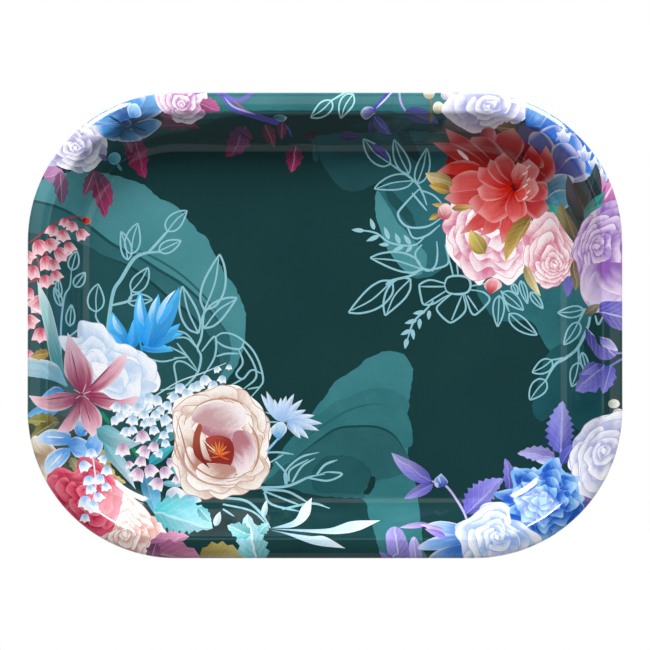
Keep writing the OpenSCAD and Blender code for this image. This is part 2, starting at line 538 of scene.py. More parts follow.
def drawn_leaf(start, end, width, bend=0.0, ink_width=0.5, colour=AQUA):
    """A leaf drawn in line only: its two sides and its midrib"""
    rim = leaf_outline(start, end, width, bend)
    half = len(rim) // 2
    tip = rim[half]
    (x0, y0), (x1, y1) = start, end
    middle = (x0 + (x1 - x0) / 2 - (y1 - y0) * bend, y0 + (y1 - y0) / 2 + (x1 - x0) * bend)
    short_of_tip = (x0 + (x1 - x0) * 0.93, y0 + (y1 - y0) * 0.93)
    return [stroke(colour, colour, ink_width, *rim[:half + 1], ends=(0.9, 0.9)),
            stroke(colour, colour, ink_width, (x0, y0), *reversed(rim[half + 1:]), tip, ends=(0.9, 0.9)),
            stroke(colour, colour, ink_width * 0.8, (x0, y0), middle, short_of_tip, ends=(0.9, 0.6))]


def line(width, *points, colour=AQUA, ends=(0.7, 0.5)):
    """A pen line in one colour"""
    return stroke(colour, colour, width, *points, ends=ends)


printed("drawn_branch_left",
        line(0.55, (-80, -12), (-80, 0), (-79, 9), (-77.5, 12), (-77, 17)),
        *drawn_leaf((-77, 17), (-75.5, 23), 3), *drawn_leaf((-76, 12), (-73, 16.5), 3),
        *drawn_leaf((-77.5, 0), (-77, 6.5), 2.5), *drawn_leaf((-80, 6), (-82, 11.5), 2),
        *drawn_leaf((-80.5, 8.5), (-81, 14.5), 1.8), line(0.5, (-77.7, -3.3), (-74, 0)),
        *drawn_leaf((-69.5, 4.5), (-69, 13), 5, 0.05),
        line(0.55, (-66.5, -2), (-69.5, 2.5), (-69.6, 4.8)),
        line(1.1, (-66.3, -6), (-66.3, -3), (-65.5, 4), (-64.2, 11), (-62, 14.5), (-59, 19.5),
             (-57, 21.5), (-54, 22.5), (-50, 22.8), ends=(0.9, 0.6), colour="86bdc8"),
        line(0.8, (-54, 22.4), (-51.5, 25), (-47.5, 29.5)),
        *drawn_leaf((-48, 29), (-42, 35.3), 4.5, 0.05), *drawn_leaf((-50.5, 23), (-43.8, 26.2), 3.6),
        *drawn_leaf((-59, 22), (-57, 31.5), 4.6, 0.04), *drawn_leaf((-60, 20.3), (-62, 29), 3.2, -0.04),
        *drawn_leaf((-58.9, 10.7), (-53.8, 18), 4.6, -0.05),
        line(0.8, (-64.8, 6.5), (-59.5, 8), (-58.9, 10.7)),
        *drawn_leaf((-60, 7.5), (-52.5, 8.2), 3.6, 0.05))
printed("drawn_cluster_left",
        *drawn_leaf((-36.7, 5), (-32, 22), 6.8, -0.05, 0.65),
        *drawn_leaf((-38.5, -2), (-43.4, 12.3), 5.2, 0.05, 0.65),
        *drawn_leaf((-36.8, -0.5), (-26.8, 8.8), 5.4, 0.08, 0.65),
        line(0.7, (-36.7, 5), (-37.6, -3), (-38.8, -6.5), (-37.7, -9), (-38.8, -14), (-43, -18.5),
             (-48, -20.5)),
        line(0.5, (-48, -1), (-42.5, -2), (-39, -6)), line(0.5, (-46, -3.5), (-42, -3.5), (-38.5, -7)),
        line(0.5, (-47.5, -6), (-43.5, -8), (-42, -9.2), (-46, -9.5)),
        line(0.5, (-45, -5), (-41.5, -9.5), (-39, -13)),
        line(0.5, (-55, -9.3), (-49.5, -10.6), (-44, -9.4)),
        line(0.55, (-39, -13.5), (-43, -10.7), (-45.8, -11.5), (-45.3, -18), (-50, -19.3)))
printed("drawn_peony_left",
        line(0.6, (-33.5, -3.3), (-31, -1.9), (-27, -2.8), (-22.5, -6.5), (-20, -11), (-18.8, -16),
             (-19.8, -18.3), (-23, -22)),
        line(0.6, (-24.7, -4.8), (-26, -6.8), (-30.5, -6), (-33.5, -4)),
        line(0.6, (-26.2, -7), (-25, -11), (-27, -14.3), (-25, -15.9), (-22.3, -13.2), (-19.2, -14.3)),
        line(0.6, (-25, -5.8), (-21.8, -11), (-21, -15.5), (-24.8, -19)),
        line(0.6, (-33, -9), (-30, -8.2), (-26.2, -8.2)),
        line(0.6, (-37.5, -7.5), (-33.5, -3), (-33.5, -9), (-37, -15)),
        line(0.5, (-25, -15.9), (-29.3, -18.2)), line(0.5, (-23.5, -19), (-19.8, -18.3)))
printed("drawn_leaves_top",
        *drawn_leaf((2, 68), (-4.3, 63), 4, 0.06, colour="a5dbe0"),
        *drawn_leaf((8.5, 70), (4.8, 62.8), 4, -0.06, colour="a5dbe0"),
        line(0.6, (1.5, 67.7), (6, 70.5), (10, 74), colour="a5dbe0"),
        *drawn_leaf((20, 49.5), (11.7, 57), 5, 0.06), *drawn_leaf((25.5, 46.5), (21, 56.8), 4, 0.03),
        *drawn_leaf((28, 43.5), (31, 54.3), 4, -0.04), *drawn_leaf((27, 44.5), (15, 42), 4.6, -0.05),
        line(0.65, (20, 49.5), (27, 44.5), (29.5, 41), (31, 37)))
printed("drawn_poppy",
        line(0.65, (28.5, 41.8), (24, 37), (22.2, 34), (25, 30.5), (31, 30.5), (36, 33.5)),
        line(0.6, (26.5, 40.7), (31, 35.3)), line(0.6, (25, 30.5), (27, 27), (31, 27.8), (35, 31)),
        line(0.6, (29.5, 25), (27.5, 22.5), (28.3, 19.5), (31, 17), (33.5, 18.5), (34.2, 22), (34, 26)),
        line(0.6, (31, 17), (36.5, 18.5), (37.6, 20.5), (36.5, 25)),
        line(0.55, (28.5, 41.8), (33, 40), (36, 37)))
sprig = [((8, 29.5), (12, 29.2), 1.3), ((13.8, 33), (15, 29.5), 1.4), ((12.5, 26), (16.5, 27.7), 1.4),
         ((18, 30.5), (19.5, 26.5), 1.4), ((16.3, 25), (19.5, 25), 1.2), ((21.3, 28.5), (22.8, 25.2), 1.4),
         ((24, 28), (26, 25), 1.4), ((20.5, 23), (24, 24.5), 1.3), ((24.5, 22.5), (26.5, 24.5), 1.2),
         ((26.7, 4), (30.5, 4.5), 1.4), ((24.2, 1), (28, 2), 1.4), ((28.7, -0.8), (28.8, 2.5), 1.3),
         ((23, -2.5), (26, -1), 1.3), ((27, -4), (26.5, -0.7), 1.3), ((24.3, -6.8), (25, -3.5), 1.5),
         ((31.5, 2), (31.7, 5), 1.3)]
printed("drawn_sprigs",
        line(0.6, (10, 29.5), (15.5, 28.5), (20, 25.5), (27, 24.8), (31, 28)),
        line(0.6, (33, 8), (31, 5.5), (27, 1.5), (25, -4)),
        *(petal("95c6d1", "95c6d1", *leaf_outline(end, start, width), kind="line") for start, end,
          width in sprig))
printed("drawn_leaves_middle",
        *drawn_leaf((29.5, 17.5), (13.8, 21), 5.6, -0.05, 0.6),
        *drawn_leaf((20.5, 14), (7.2, 4.3), 6.6, 0.06, 0.6),
        *drawn_leaf((26, 14.5), (18.3, 3.4), 6, -0.08, 0.6),
        line(0.75, (18.5, 12.8), (20, 14), (26, 15.5), (29.5, 17.5), (33, 17)))
printed("drawn_daisy",
        line(0.7, (36.3, 12.7), (37.3, 14.9), (40.3, 15.5), (43.3, 14.9), (44.3, 12.7), (43.3, 10.5),
             (40.3, 9.9), (37.3, 10.5), (36.3, 12.7)),
        line(0.6, (36.5, 13.2), (32, 14.2), (29, 13), (28.7, 12), (29.2, 9), (30, 6.8), (33, 7),
             (36, 8.8), (38.3, 10)),
        line(0.5, (36.5, 12.2), (28.9, 12.2)), line(0.5, (37, 11), (30.5, 7)),
        line(0.6, (38.5, 10), (35.3, 7.3), (34, 5.2), (37, 1.8), (39, 1.5), (42.7, 5), (42, 9.8)),
        line(0.5, (38.5, 2), (41.7, 9.7)),
        line(0.6, (42.5, 9.8), (44.5, 4.3), (46, 3.8), (50, 8), (48.5, 10.3), (46, 11), (44, 11.2)),
        line(0.5, (43.3, 9.5), (46.5, 4.8)), line(0.5, (44, 12.3), (49, 13.2)),
        line(0.5, (39, 15.5), (37.8, 20.5)), line(0.5, (40.5, 15.6), (40, 20)))
printed("drawn_leaves_right",
        *drawn_leaf((78.5, 5), (70.8, 4.3), 3.4, 0.04), *drawn_leaf((77, 1.3), (72.6, -5.5), 3.6, 0.04),
        *drawn_leaf((69, -10.2), (63, -13.9), 4, 0.05),
        *drawn_leaf((67.2, -16.3), (62.3, -22.3), 4.6, -0.04),
        *drawn_leaf((77, -11), (75, -18.3), 3.8, 0.04), *drawn_leaf((78, -8), (79.7, -15.3), 2),
        line(0.9, (80.3, 2.7), (79.7, -0.3), (76.8, -6.5), (73, -9.7), (70, -11.5), (67, -16.5)),
        line(0.6, (74, -9.3), (68.5, -10.2)), line(0.6, (77, -6.5), (77, -11)),
        line(0.6, (79, 5.3), (77, 1.3)), *drawn_leaf((54, 10.5), (60.3, 5), 3.6, 0.03),
        *drawn_leaf((53, 9.5), (52.5, 0), 3.4), *drawn_leaf((56, 4), (64.5, -2.5), 4, -0.04),
        line(0.6, (53.5, 11), (56, 4.5)), *drawn_leaf((57, 13), (58.6, 9.7), 1.8),
        *drawn_leaf((59.5, 14), (61.6, 7), 2), *drawn_leaf((62.5, 10.5), (66.3, 5.5), 2.3),
        line(0.6, (81.8, 3), (82.7, 0.2), (84, 2.5)))
wisps = [(0.8, (-31, -50.5), (-20, -49), (-11.5, -48.5), (-5, -45.8), (0, -44.8)),
         (0.6, (-12, -48), (-12, -44), (-7.5, -39.8), (-1.8, -38.2)),
         (0.6, (-11, -47), (-10.5, -43.5), (-5, -40.3)), (0.6, (-10, -47.3), (-7, -42.5), (-3, -40)),
         (0.7, (-2.5, -45), (0, -42), (3.8, -40.5)),
         (0.6, (-5, -46), (1, -46.8), (5.2, -44.8), (1, -44.2), (-1.5, -44.8)),
         (0.7, (-19, -49.5), (-12, -50), (-8, -51.8), (-4.5, -54)),
         (0.6, (-18.5, -50), (-11, -53), (-7, -54.5)), (0.7, (-18.5, -50.3), (-16.3, -54), (-7.5, -56.3)),
         (0.7, (-13, -55.5), (-4, -53.8), (1.5, -55.3)), (0.6, (-18, -38.3), (-14, -38.2), (-9.5, -38.8)),
         (0.5, (-17, -41.5), (-12.5, -38.8)), (0.8, (-31, -52), (-24, -53), (-19.3, -57), (-16.5, -61.3)),
         (0.6, (-31, -54), (-22, -56.3), (-16.5, -61.5)), (0.6, (-31, -55.5), (-27.5, -57.8)),
         (0.6, (-15, -41), (-12, -44.5), (-11.5, -48.5))]
printed("drawn_wisps", *(line(width, *points, ends=(0.9, 0.3)) for width, *points in wisps))

# ------------------------------------------------------------------------------------------
# Top left: a blue flower between two pale roses, with wine-red leaves under them. Printed petals
# run from a deep base colour to a light tip.


def turned(x, y, angle, scale, points):
    """Points of a small drawing, turned by angle in degrees, scaled and moved to x, y"""
    c, s = math.cos(math.radians(angle)) * scale, math.sin(math.radians(angle)) * scale
    return [(x + c * p[0] - s * p[1], y + s * p[0] + c * p[1], *p[2:]) for p in points]


def crease(colour, *points, width=0.6):
    """A fold or a deep gap between petals: a dark stroke that thins out at both ends"""
    return stroke(colour, colour, width, *points, ends=(0.15, 0.1))


def blob(base, tip, x, y, rx, ry, angle=0.0, edge=0.2):
    """An oval dab, its base end at its left before it is turned"""
    rim = [(-rx * math.cos(math.radians(a)), ry * math.sin(math.radians(a))) for a in range(0, 360, 45)]
    return petal(base, tip, *turned(x, y, angle, 1.0, rim), edge=edge)


# Half a petal's outline as (share of its half width, share of its reach), down one side and up the other
ROUND = ((0, 0.4), (-0.75, 0.55), (-1, 0.76), (-0.84, 0.92), (-0.35, 1.0), (0.05, 0.94), (0.5, 1.0),
         (0.88, 0.9), (1, 0.72), (0.7, 0.55))
POINTED = ((0, 0.4), (-0.7, 0.5), (-0.85, 0.7), (-0.5, 0.86), (-0.1, 1.04), (0.25, 0.9), (0.75, 0.84),
           (0.95, 0.68), (0.6, 0.5))
# How far a petal's own outline shows round it, in mm
OUTLINE_WIDTH = 0.2
# The rings of a full and of a loose rose: the size of each as a share of the whole, and its petals
FULL = ((1.06, 7), (0.86, 6), (0.66, 6), (0.47, 5), (0.3, 4), (0.16, 3))
LOOSE = ((1.06, 6), (0.8, 5), (0.56, 4), (0.34, 3), (0.17, 2))


def rose(x, y, base, tip, rings, *rim, edge=0.5, seed=0.0, lobe=ROUND, outline_ink=None):
    """A full rose seen from above, inside a closed outline: a pale bed, then rings of ruffled petals
    round its heart at x, y, each as uneven as its own jitter makes it. Petals may have a thin outline
    in an ink of its own."""
    outline = np.array(trace(rim, True)) - (x, y)
    bearing = np.arctan2(outline[:, 1], outline[:, 0])
    order = np.argsort(bearing)

    def rim_at(angle):
        return np.interp(angle, bearing[order], np.hypot(*outline[order].T), period=2 * math.pi)

    def ring_measure(turn, half, share, start):
        def measure(places):
            offset = np.asarray(places) - (x, y)
            angle = np.arctan2(offset[:, 1], offset[:, 0])
            across = ((angle - turn + math.pi) % (2 * math.pi) - math.pi) / half
            along = np.clip((np.hypot(*offset.T) / (share * rim_at(angle)) - start) / (1 - start), 0, 1)
            # The side that the next petal covers lies in its shade
            shade = np.clip((across + 0.2) / 0.7, 0, 1) ** 2
            return np.stack([along ** 0.75 * (1 - 0.6 * shade), np.clip(across, -1, 1)], axis=1)
        return measure

    shapes = [petal(tip, tip, *rim, edge=0)]
    for k, (share, count) in enumerate(rings):
        # The next ring covers a petal's foot, so its colours run only over the part that shows
        start = 0.92 * rings[k + 1][0] / share if k + 1 < len(rings) else 0.3
        for i in range(count):
            number = seed + 10 * k + i
            turn = 2 * math.pi * (i + 0.5 * (k % 2) + 0.5 * jitter(number)) / count
            half = math.pi / count * (1.25 + 0.4 * jitter(number + 0.5))
            size = share * (0.9 + 0.13 * jitter(number + 0.7))
            ruffle, wider = [], []
            for side, reach in lobe:
                angle = turn + side * half
                out = size * (reach + 0.06 * jitter(number + side)) * float(rim_at(angle))
                ruffle.append((x + out * math.cos(angle), y + out * math.sin(angle)))
                out += OUTLINE_WIDTH
                wider.append((x + out * math.cos(angle), y + out * math.sin(angle)))
            if outline_ink:
                shapes.append(petal(outline_ink, outline_ink, *wider, edge=0))
            one = petal(base, tip, *ruffle, edge=edge)
            one["measure"] = ring_measure(turn, half, size, start)
            # Some petals are a little deeper in colour than the rest
            dim = 0.3 * jitter(number + 0.3) ** 2
            one["tip"] = [t * (1 - dim) + b * dim for t, b in zip(one["tip"], one["base"])]
            shapes.append(one)
    return shapes


printed("wine_leaves_top_left",
        leaf("5c2044", "a02c60", (-58, 58.5), (-54.6, 45.2), 6, -0.06, 4, 0.1),
        leaf("5a2a44", "7a2850", (-51, 60.5), (-38, 60), 3, 0.08, 3, 0.1),
        leaf("5a2a48", "8a3a60", (-61, 57), (-58.5, 52.8), 2.6),
        leaf("5c2848", "a03564", (-70.5, 47.5), (-67, 33), 5, 0.05, 5, 0.1),
        leaf("6a3050", "8d3a60", (-70, 47), (-73.4, 39.5), 3, 0, 3),
        leaf("5a3050", "a03a68", (-69, 46.5), (-65, 36.6), 3.4, 0.05, 4, 0.1),
        leaf("a56ea2", "b585b2", (-85, 44.5), (-79, 46), 5, 0.1, 3),
        leaf("85557c", "6a4868", (-80, 46.5), (-79.7, 36.5), 4, 0, 3))
printed("pale_rose_top_left",
        *rose(-75.5, 53.5, "9a96c4", "f2f0f8", LOOSE, (-70, 48.5), (-74, 46.5), (-80, 48), (-86, 50),
              (-87, 58), (-79, 66), (-72.5, 62), (-69, 60), (-66, 56), (-67, 52), seed=31))
printed("blue_flower_top_left",
        petal("22446f", "6da9e3", (-60, 61), (-67, 60), (-72, 61), (-76, 64.5), (-70, 70), (-63, 73),
              (-61, 67)),
        petal("2a5590", "5b9fdd", (-60, 61.5), (-66, 61), (-70, 62), (-66, 65.5), (-62, 67)),
        petal("2a5590", "529adb", (-60, 62), (-62, 67), (-58, 70), (-54, 69), (-55, 65), (-57.5, 63)),
        petal("24487a", "6da9e3", (-58, 62), (-55, 67), (-53.5, 71), (-50, 71), (-47.8, 66.5), (-52, 63)),
        petal("1e3d6e", "4a92d3", (-60, 60.5), (-66, 60.8), (-69.5, 59.8), (-67, 57), (-63, 56.2)),
        petal("22446f", "5593ce", (-60, 60.5), (-63, 56.4), (-59, 56), (-55.5, 57)),
        petal("1f3f6c", "4f8cca", (-59.5, 60.8), (-56, 57), (-52, 58.8), (-49.5, 61.5), (-53, 62.6)),
        petal("3f7cc0", "93c4ee", (-59, 62.5), (-59.8, 66), (-57, 67), (-55.6, 63.5)),
        crease("1a3560", (-61.5, 61), (-65.5, 63.4)), crease("1a3560", (-58.5, 60.5), (-54, 59)),
        blob("1a2f58", "2a4a80", -60, 61.2, 1.4, 1.1))
printed("pink_rose_top",
        *rose(-43.5, 66.5, "b070ac", "f6e8f2", LOOSE, (-46.5, 62.6), (-50, 66), (-51.5, 70), (-49, 76),
              (-38, 76), (-35.5, 68), (-36.5, 64), (-41.5, 61.4), seed=37, edge=0.6))
printed("leaves_top_left",
        leaf("8a3f6c", "b85a90", (-38, 67), (-31.8, 64.8), 4, 0.08, 3),
        leaf("7a3060", "9a4070", (-50, 63.6), (-46, 62.8), 1.8),
        blob("3f8aa5", "5fb0c0", -64, 51, 2, 1.7, 30),
        leaf("5a4a7a", "7a6aa0", (-66, 50.5), (-68.8, 52), 1.6),
        crease("4f8aa0", (-63.3, 49.6), (-61.8, 47.4), width=0.9))

# ------------------------------------------------------------------------------------------
# Left: sprays of pink bells on red stems, blue-grey blades, sky-blue leaves, and a pale blue
# flower below them.


def bell(light, dark, x, y, r, angle=0.0):
    """A little hanging bell: two flared petals at its sides and one in front. It opens at this angle
    from down, give or take 30 degrees."""
    side = [(0, 0.95), (0.6, 0.75), (0.95, 0.1), (1.2, -0.75, 1), (0.55, -0.7), (-0.2, -0.6), (-0.2, 0.6)]
    front = [(0, 0.7), (-0.4, 0.25), (-0.55, -0.5), (-0.1, -1.15, 1), (0.5, -0.55), (0.4, 0.25)]
    angle += 60 * (jitter(x + 2 * y) - 0.5)
    r *= 0.95
    return [blob(light, light, x, y, r, r, edge=0),
            *(petal(light, dark, *turned(x, y, angle, r, part), edge=0.5)
              for part in ([(-u, *rest) for u, *rest in side], side, front))]


def bells(light, dark, places):
    """A spray of bells, each from its place, its size and its angle"""
    return [part for place in places for part in bell(light, dark, *place)]


pink_bells = [
    (-79, 31.3, 1.5, 20), (-76.8, 30.3, 1.7, -20), (-74, 28, 1.9, 40), (-82.5, 28.6, 1.9, -10),
    (-79.5, 27.3, 1.9, 10), (-86.3, 23.5, 2.5, 20), (-82.8, 24.4, 2.1, 30), (-80, 21.6, 2.3, 15),
    (-77.6, 23.8, 1.8, 50), (-84.2, 18.8, 2.3, 10), (-82.3, 18.2, 1.9, 15), (-81.5, 15, 1.8, 10),
    (-88.5, 16, 2.3, 0), (-84.5, 13.2, 2.1, 20), (-89.2, 1, 2.4, 10), (-86, -3, 2.4, 0),
    (-89.8, -9.3, 2, 0), (-86.6, 6.2, 3.1, -15), (-89.8, 9.5, 2, 0), (-90, 20.5, 2.2, 10)]
printed("pink_bells",
        line(0.5, (-72.8, 33), (-75, 33.4), (-78, 32.8), (-82.5, 30.5), (-86.5, 27), (-91, 24),
             colour="a03848"),
        line(0.5, (-82.5, 30.5), (-80.5, 28), (-78.8, 25), colour="a03848"),
        line(0.5, (-94, 21), (-87.5, 20.5), (-86.5, 17), colour="b04048"),
        line(0.5, (-94, 12), (-87.5, 13.5), (-85, 14.5), colour="b04048"),
        line(0.5, (-86, 24), (-84, 21), (-82.5, 17), colour="a03848"),
        blob("8a1208", "c83020", -72.6, 32.2, 1.4, 1.1),
        *bells("c8435e", "f8ccd6", pink_bells),
        crease("fdf4f6", (-88.5, 5.3), (-86, 4), (-84.2, 4.8), width=0.7))
printed("blades_left",
        petal("2b8790", "a5d0d5", (-78.7, -18.8), (-81.2, -16.5), (-82.8, -12), (-84.8, -1), (-86.3, 6),
              (-87, 13.5, 1), (-83.5, 7), (-82, 2), (-80.5, -5), (-79, -15)),
        petal("71abc1", "b3d0dd", (-78, -18.5), (-79, -16), (-82.7, -11), (-96, -10), (-96, -14),
              (-83.5, -16.5)),
        leaf("8a7434", "b89848", (-83.5, -8), (-89, -9.5), 3, 0.05, 3),
        petal("2f7fc4", "63b0ea", (-79, -19.5), (-82, -18.6), (-86, -22.5), (-82, -23)))
sky_leaves = [((-60, -7), (-64.6, 4.4), 5.4, 0.08), ((-59, -7), (-58, 2.6), 3.8, -0.05),
              ((-60, -6.5), (-66.3, -1), 3.6, -0.05), ((-56, -6.5), (-46, -7.4), 3.2, 0.05),
              ((-54, -6), (-43, -2.2), 3.4, 0.05), ((-54, -6), (-56.2, 11), 4.6, 0.05),
              ((-54, -6), (-44, 1), 3.8, -0.05), ((-54, -6), (-44.3, 12.2), 4.6, -0.06),
              ((-54, -6), (-50.6, 10), 4.6, 0.0)]
# Pale strokes of light down the leaves that face it
sky_lights = [((-54.9, 0), (-56, 9.8)), ((-51, 0.5), (-45.3, 11.2)), ((-61.2, -2.5), (-64.4, 3.6)),
              ((-52.6, 1), (-50.9, 9))]
printed("sky_leaves",
        *(leaf("1c88dc", "52bdf6", start, end, width, bend, edge=0.08) for start, end, width,
          bend in sky_leaves),
        *(leaf("44aeee", "c4e0f8", start, end, 1.7, 0.1, edge=0) for start, end in sky_lights),
        line(0.6, (-56.8, -2), (-55.2, -9.5), colour="2f9fd8"))
printed("pale_flower_left",
        *rose(-69, -14, "b8d2ee", "f2f6fc", ((1.04, 8), (0.78, 6), (0.5, 5)), (-74.4, -15), (-77, -10.5),
              (-80.5, -4.6), (-75.5, -4), (-75, 0.2), (-71.5, 0.9), (-68, 0), (-63.5, -5), (-59.3, -6.4),
              (-54.3, -8.6), (-50.2, -15.4), (-51, -19.6), (-54.5, -20.4), (-52.2, -24.5), (-55.5, -27.2),
              (-61.5, -26), (-68.5, -21.5), seed=41, edge=0.3, outline_ink="b0cfec"))

# ------------------------------------------------------------------------------------------
# Bottom left: small blue and cream flowers under a wine-pink lily, a red flower hung with white
# bells, teal leaves, and the big cream peony with its red heart.
printed("small_flowers_left",
        patch("wash", "26382e", "3a4a34", (-91, -27), (-84, -26), (-76, -29), (-68, -33), (-61, -40),
              (-60, -47), (-66, -50), (-74, -44), (-86, -47), (-91, -40)),
        leaf("2f8ad0", "6ab8ea", (-80.5, -24), (-90.5, -27.4), 4.6, 0.05, edge=0.1),
        leaf("5c5a24", "a8a048", (-80.5, -29.5), (-90.5, -29), 4, -0.05, 5),
        leaf("4c4c20", "908a3c", (-82, -29.5), (-89, -34), 3.6, 0, 4),
        petal("b09878", "efe6d6", (-85, -40), (-89.5, -37.5), (-88, -33.5), (-84, -35), (-81, -38.5)),
        petal("a88c70", "ece2d2", (-84.5, -39.5), (-89.5, -38.6), (-90, -44.5), (-87, -47.5),
              (-83.5, -45)),
        petal("b8a080", "f2eadc", (-84.5, -40), (-86, -46), (-83, -49), (-80, -46.5), (-81.5, -41)),
        leaf("8a8048", "d0c690", (-70, -37.6), (-62.5, -42.3), 3, 0.05, 3),
        leaf("7a7440", "c4ba84", (-69, -40), (-63, -47.5), 3.2, 0, 3),
        leaf("8a7c48", "cabc88", (-67, -45.5), (-60.5, -47.5), 2.6, 0, 3),
        leaf("6a6838", "a8a068", (-77, -40), (-74, -45), 2.8, 0, 3),
        petal("3f88d4", "a4cdf2", (-77, -36), (-77.6, -32.4), (-83.4, -31.6), (-87.2, -34.6),
              (-82.7, -36.4)),
        petal("4a90d8", "b4d6f4", (-77, -37), (-80.7, -37.4), (-84.2, -40), (-84.6, -44.8),
              (-80.7, -43.6), (-77.6, -40)),
        petal("3a80cc", "90c2ee", (-78, -36), (-77, -34.2), (-74.8, -33.6), (-71, -36), (-72, -39.2),
              (-75.5, -39.8)),
        petal("4a94dc", "a8d0f4", (-73, -36), (-70.6, -32), (-68, -32), (-67.6, -37), (-70.3, -40.2)),
        petal("3f8cd8", "98c8f0", (-75, -33.5), (-76.6, -30), (-74.4, -27.6), (-72, -30), (-72.6, -33)),
        petal("3478bc", "78b4e4", (-73.5, -32), (-71.6, -28.6), (-69, -29), (-69.4, -32)),
        crease("e8f2fb", (-79, -34), (-84.5, -33.8), width=0.35),
        crease("e8f2fb", (-79.5, -38.8), (-83, -42.8), width=0.35))
printed("lily",
        petal("94305a", "e0b0c0", (-74.6, -20.4), (-78.6, -15.4), (-79.1, -11.3), (-78.1, -2, 1),
              (-74.8, -6.5), (-71, -12), (-70.3, -14.7), (-71.4, -18.2)),
        petal("a03a62", "e2b4c2", (-73.6, -20.4), (-68.3, -14.7), (-63.5, -9.6), (-60, -8, 1),
              (-60.7, -11.3), (-63.5, -16.1), (-68.3, -19.5)),
        petal("942c52", "dc9cb0", (-73.6, -20.6), (-68.3, -19.8), (-63.5, -22.3), (-56.9, -20.9, 1),
              (-57.3, -23), (-60.7, -24.7), (-65.5, -25.4), (-70.3, -23.3)),
        petal("983058", "deaabb", (-74.6, -20.6), (-80.6, -20.2), (-84.7, -21.6), (-89.6, -21.3, 1),
              (-86.8, -24.7), (-82, -26.1), (-77.2, -24.4)),
        petal("8c2c54", "dca0b4", (-74.6, -21.2), (-77.2, -25.7), (-81.3, -32.3, 1), (-77.2, -31.9),
              (-74.8, -28.5), (-73.4, -24.4)),
        petal("9c3860", "e2acbc", (-74, -21.2), (-74.4, -25.7), (-73.8, -29.8), (-70.7, -33.6, 1),
              (-68.3, -31.2), (-67.9, -27.1), (-70.3, -23.7)),
        *(crease("8a3a5c", out_from(-74, -20.8, a, 1), out_from(-74, -20.8, a, r), width=0.4)
          for a, r in ((103, 14), (45, 13), (-8, 12), (190, 11), (238, 9), (-72, 9))),
        *(crease("e6c0ca", (-73.8, -20.6), out_from(-73.8, -20.6, a, r), width=0.22)
          for a, r in ((70, 3.6), (20, 3), (150, 3), (-40, 3), (215, 2.6))),
        blob("7a2848", "a04a6c", -73.8, -20.7, 0.9, 0.8))
printed("cream_bloom_left",
        *rose(-60.5, -63, "c8948a", "f7edea", FULL, (-66.5, -59.5), (-64, -55), (-62.5, -52.5),
              (-59, -51), (-55.8, -55.5), (-50, -60), (-48.8, -65), (-52.5, -70), (-55, -78), (-67, -74),
              (-72, -66), seed=43, edge=0.5, outline_ink="cf9a8c"))
printed("red_flower_left",
        *rose(-71, -50.5, "a81438", "e4607c", ((1.04, 8), (0.8, 7), (0.56, 6), (0.34, 4)), (-76, -44.5),
              (-80.5, -43), (-84, -46.5), (-83, -51.5), (-79.5, -55), (-76, -59.5), (-71, -64),
              (-66, -63), (-62.5, -57.5), (-62, -51.5), (-64.5, -46), (-68.5, -41.8), (-73.5, -40),
              seed=47, edge=0.12))
white_bells = [
    (-73, -42.5, 1.8, 20), (-66.3, -43.8, 1.6, -20), (-68.5, -46.5, 1.7, 10), (-71.5, -47, 1.7, 30),
    (-71, -49.7, 1.5, 0), (-66.5, -48.8, 1.4, -10), (-68.5, -52, 1.5, 10), (-72.5, -53.5, 2, 20),
    (-70.3, -55, 2, 0), (-72.5, -58.3, 1.4, 10), (-67.5, -40.3, 1.4, -30), (-71, -38.5, 1.6, 10)]
printed("white_bells_left",
        line(0.45, (-71, -38), (-70.2, -42), (-69.5, -49), (-70.5, -54), colour="cfe0ea"),
        *bells("8ab4e4", "f6faff", white_bells))
printed("teal_leaves_left",
        petal("3a9ca6", "bcd8e2", (-69.5, -31), (-65.5, -30), (-59.5, -34), (-55.8, -35.5, 1),
              (-62.5, -38), (-68.5, -34.5), kind="leaf", edge=0.12),
        petal("56a6b4", "c4dce6", (-67.5, -35), (-61, -40), (-57.5, -49.5, 1), (-63, -43.5),
              (-66.5, -39.5), kind="leaf", edge=0.12),
        leaf("3a80a4", "6ab0cc", (-55, -45), (-51.3, -57.5), 5.4, 0.05, edge=0.15),
        leaf("2090a4", "4ab8c4", (-53.5, -42), (-45.5, -36.3), 3.6, 0.05, edge=0.15),
        leaf("2ea4b3", "4fc0d0", (-47.8, -40), (-44.6, -45.5), 2.6, edge=0.5),
        leaf("5aaab8", "9ad0dc", (-49.5, -47.5), (-42.5, -48.3), 2, edge=0.5),
        line(1.2, (-68, -26), (-65.5, -29.5), colour="1f8a5c"),
        line(1.4, (-58.5, -37), (-56.5, -39.5), colour="1f8a5c"),
        *(line(0.45, (-62 + 1.5 * i, -29), (-61 + 2.2 * i, -26 - (i % 3)),
               (-59 + 2.6 * i, -23.5 - (i % 2)), colour="a9d0d8") for i in range(6)))
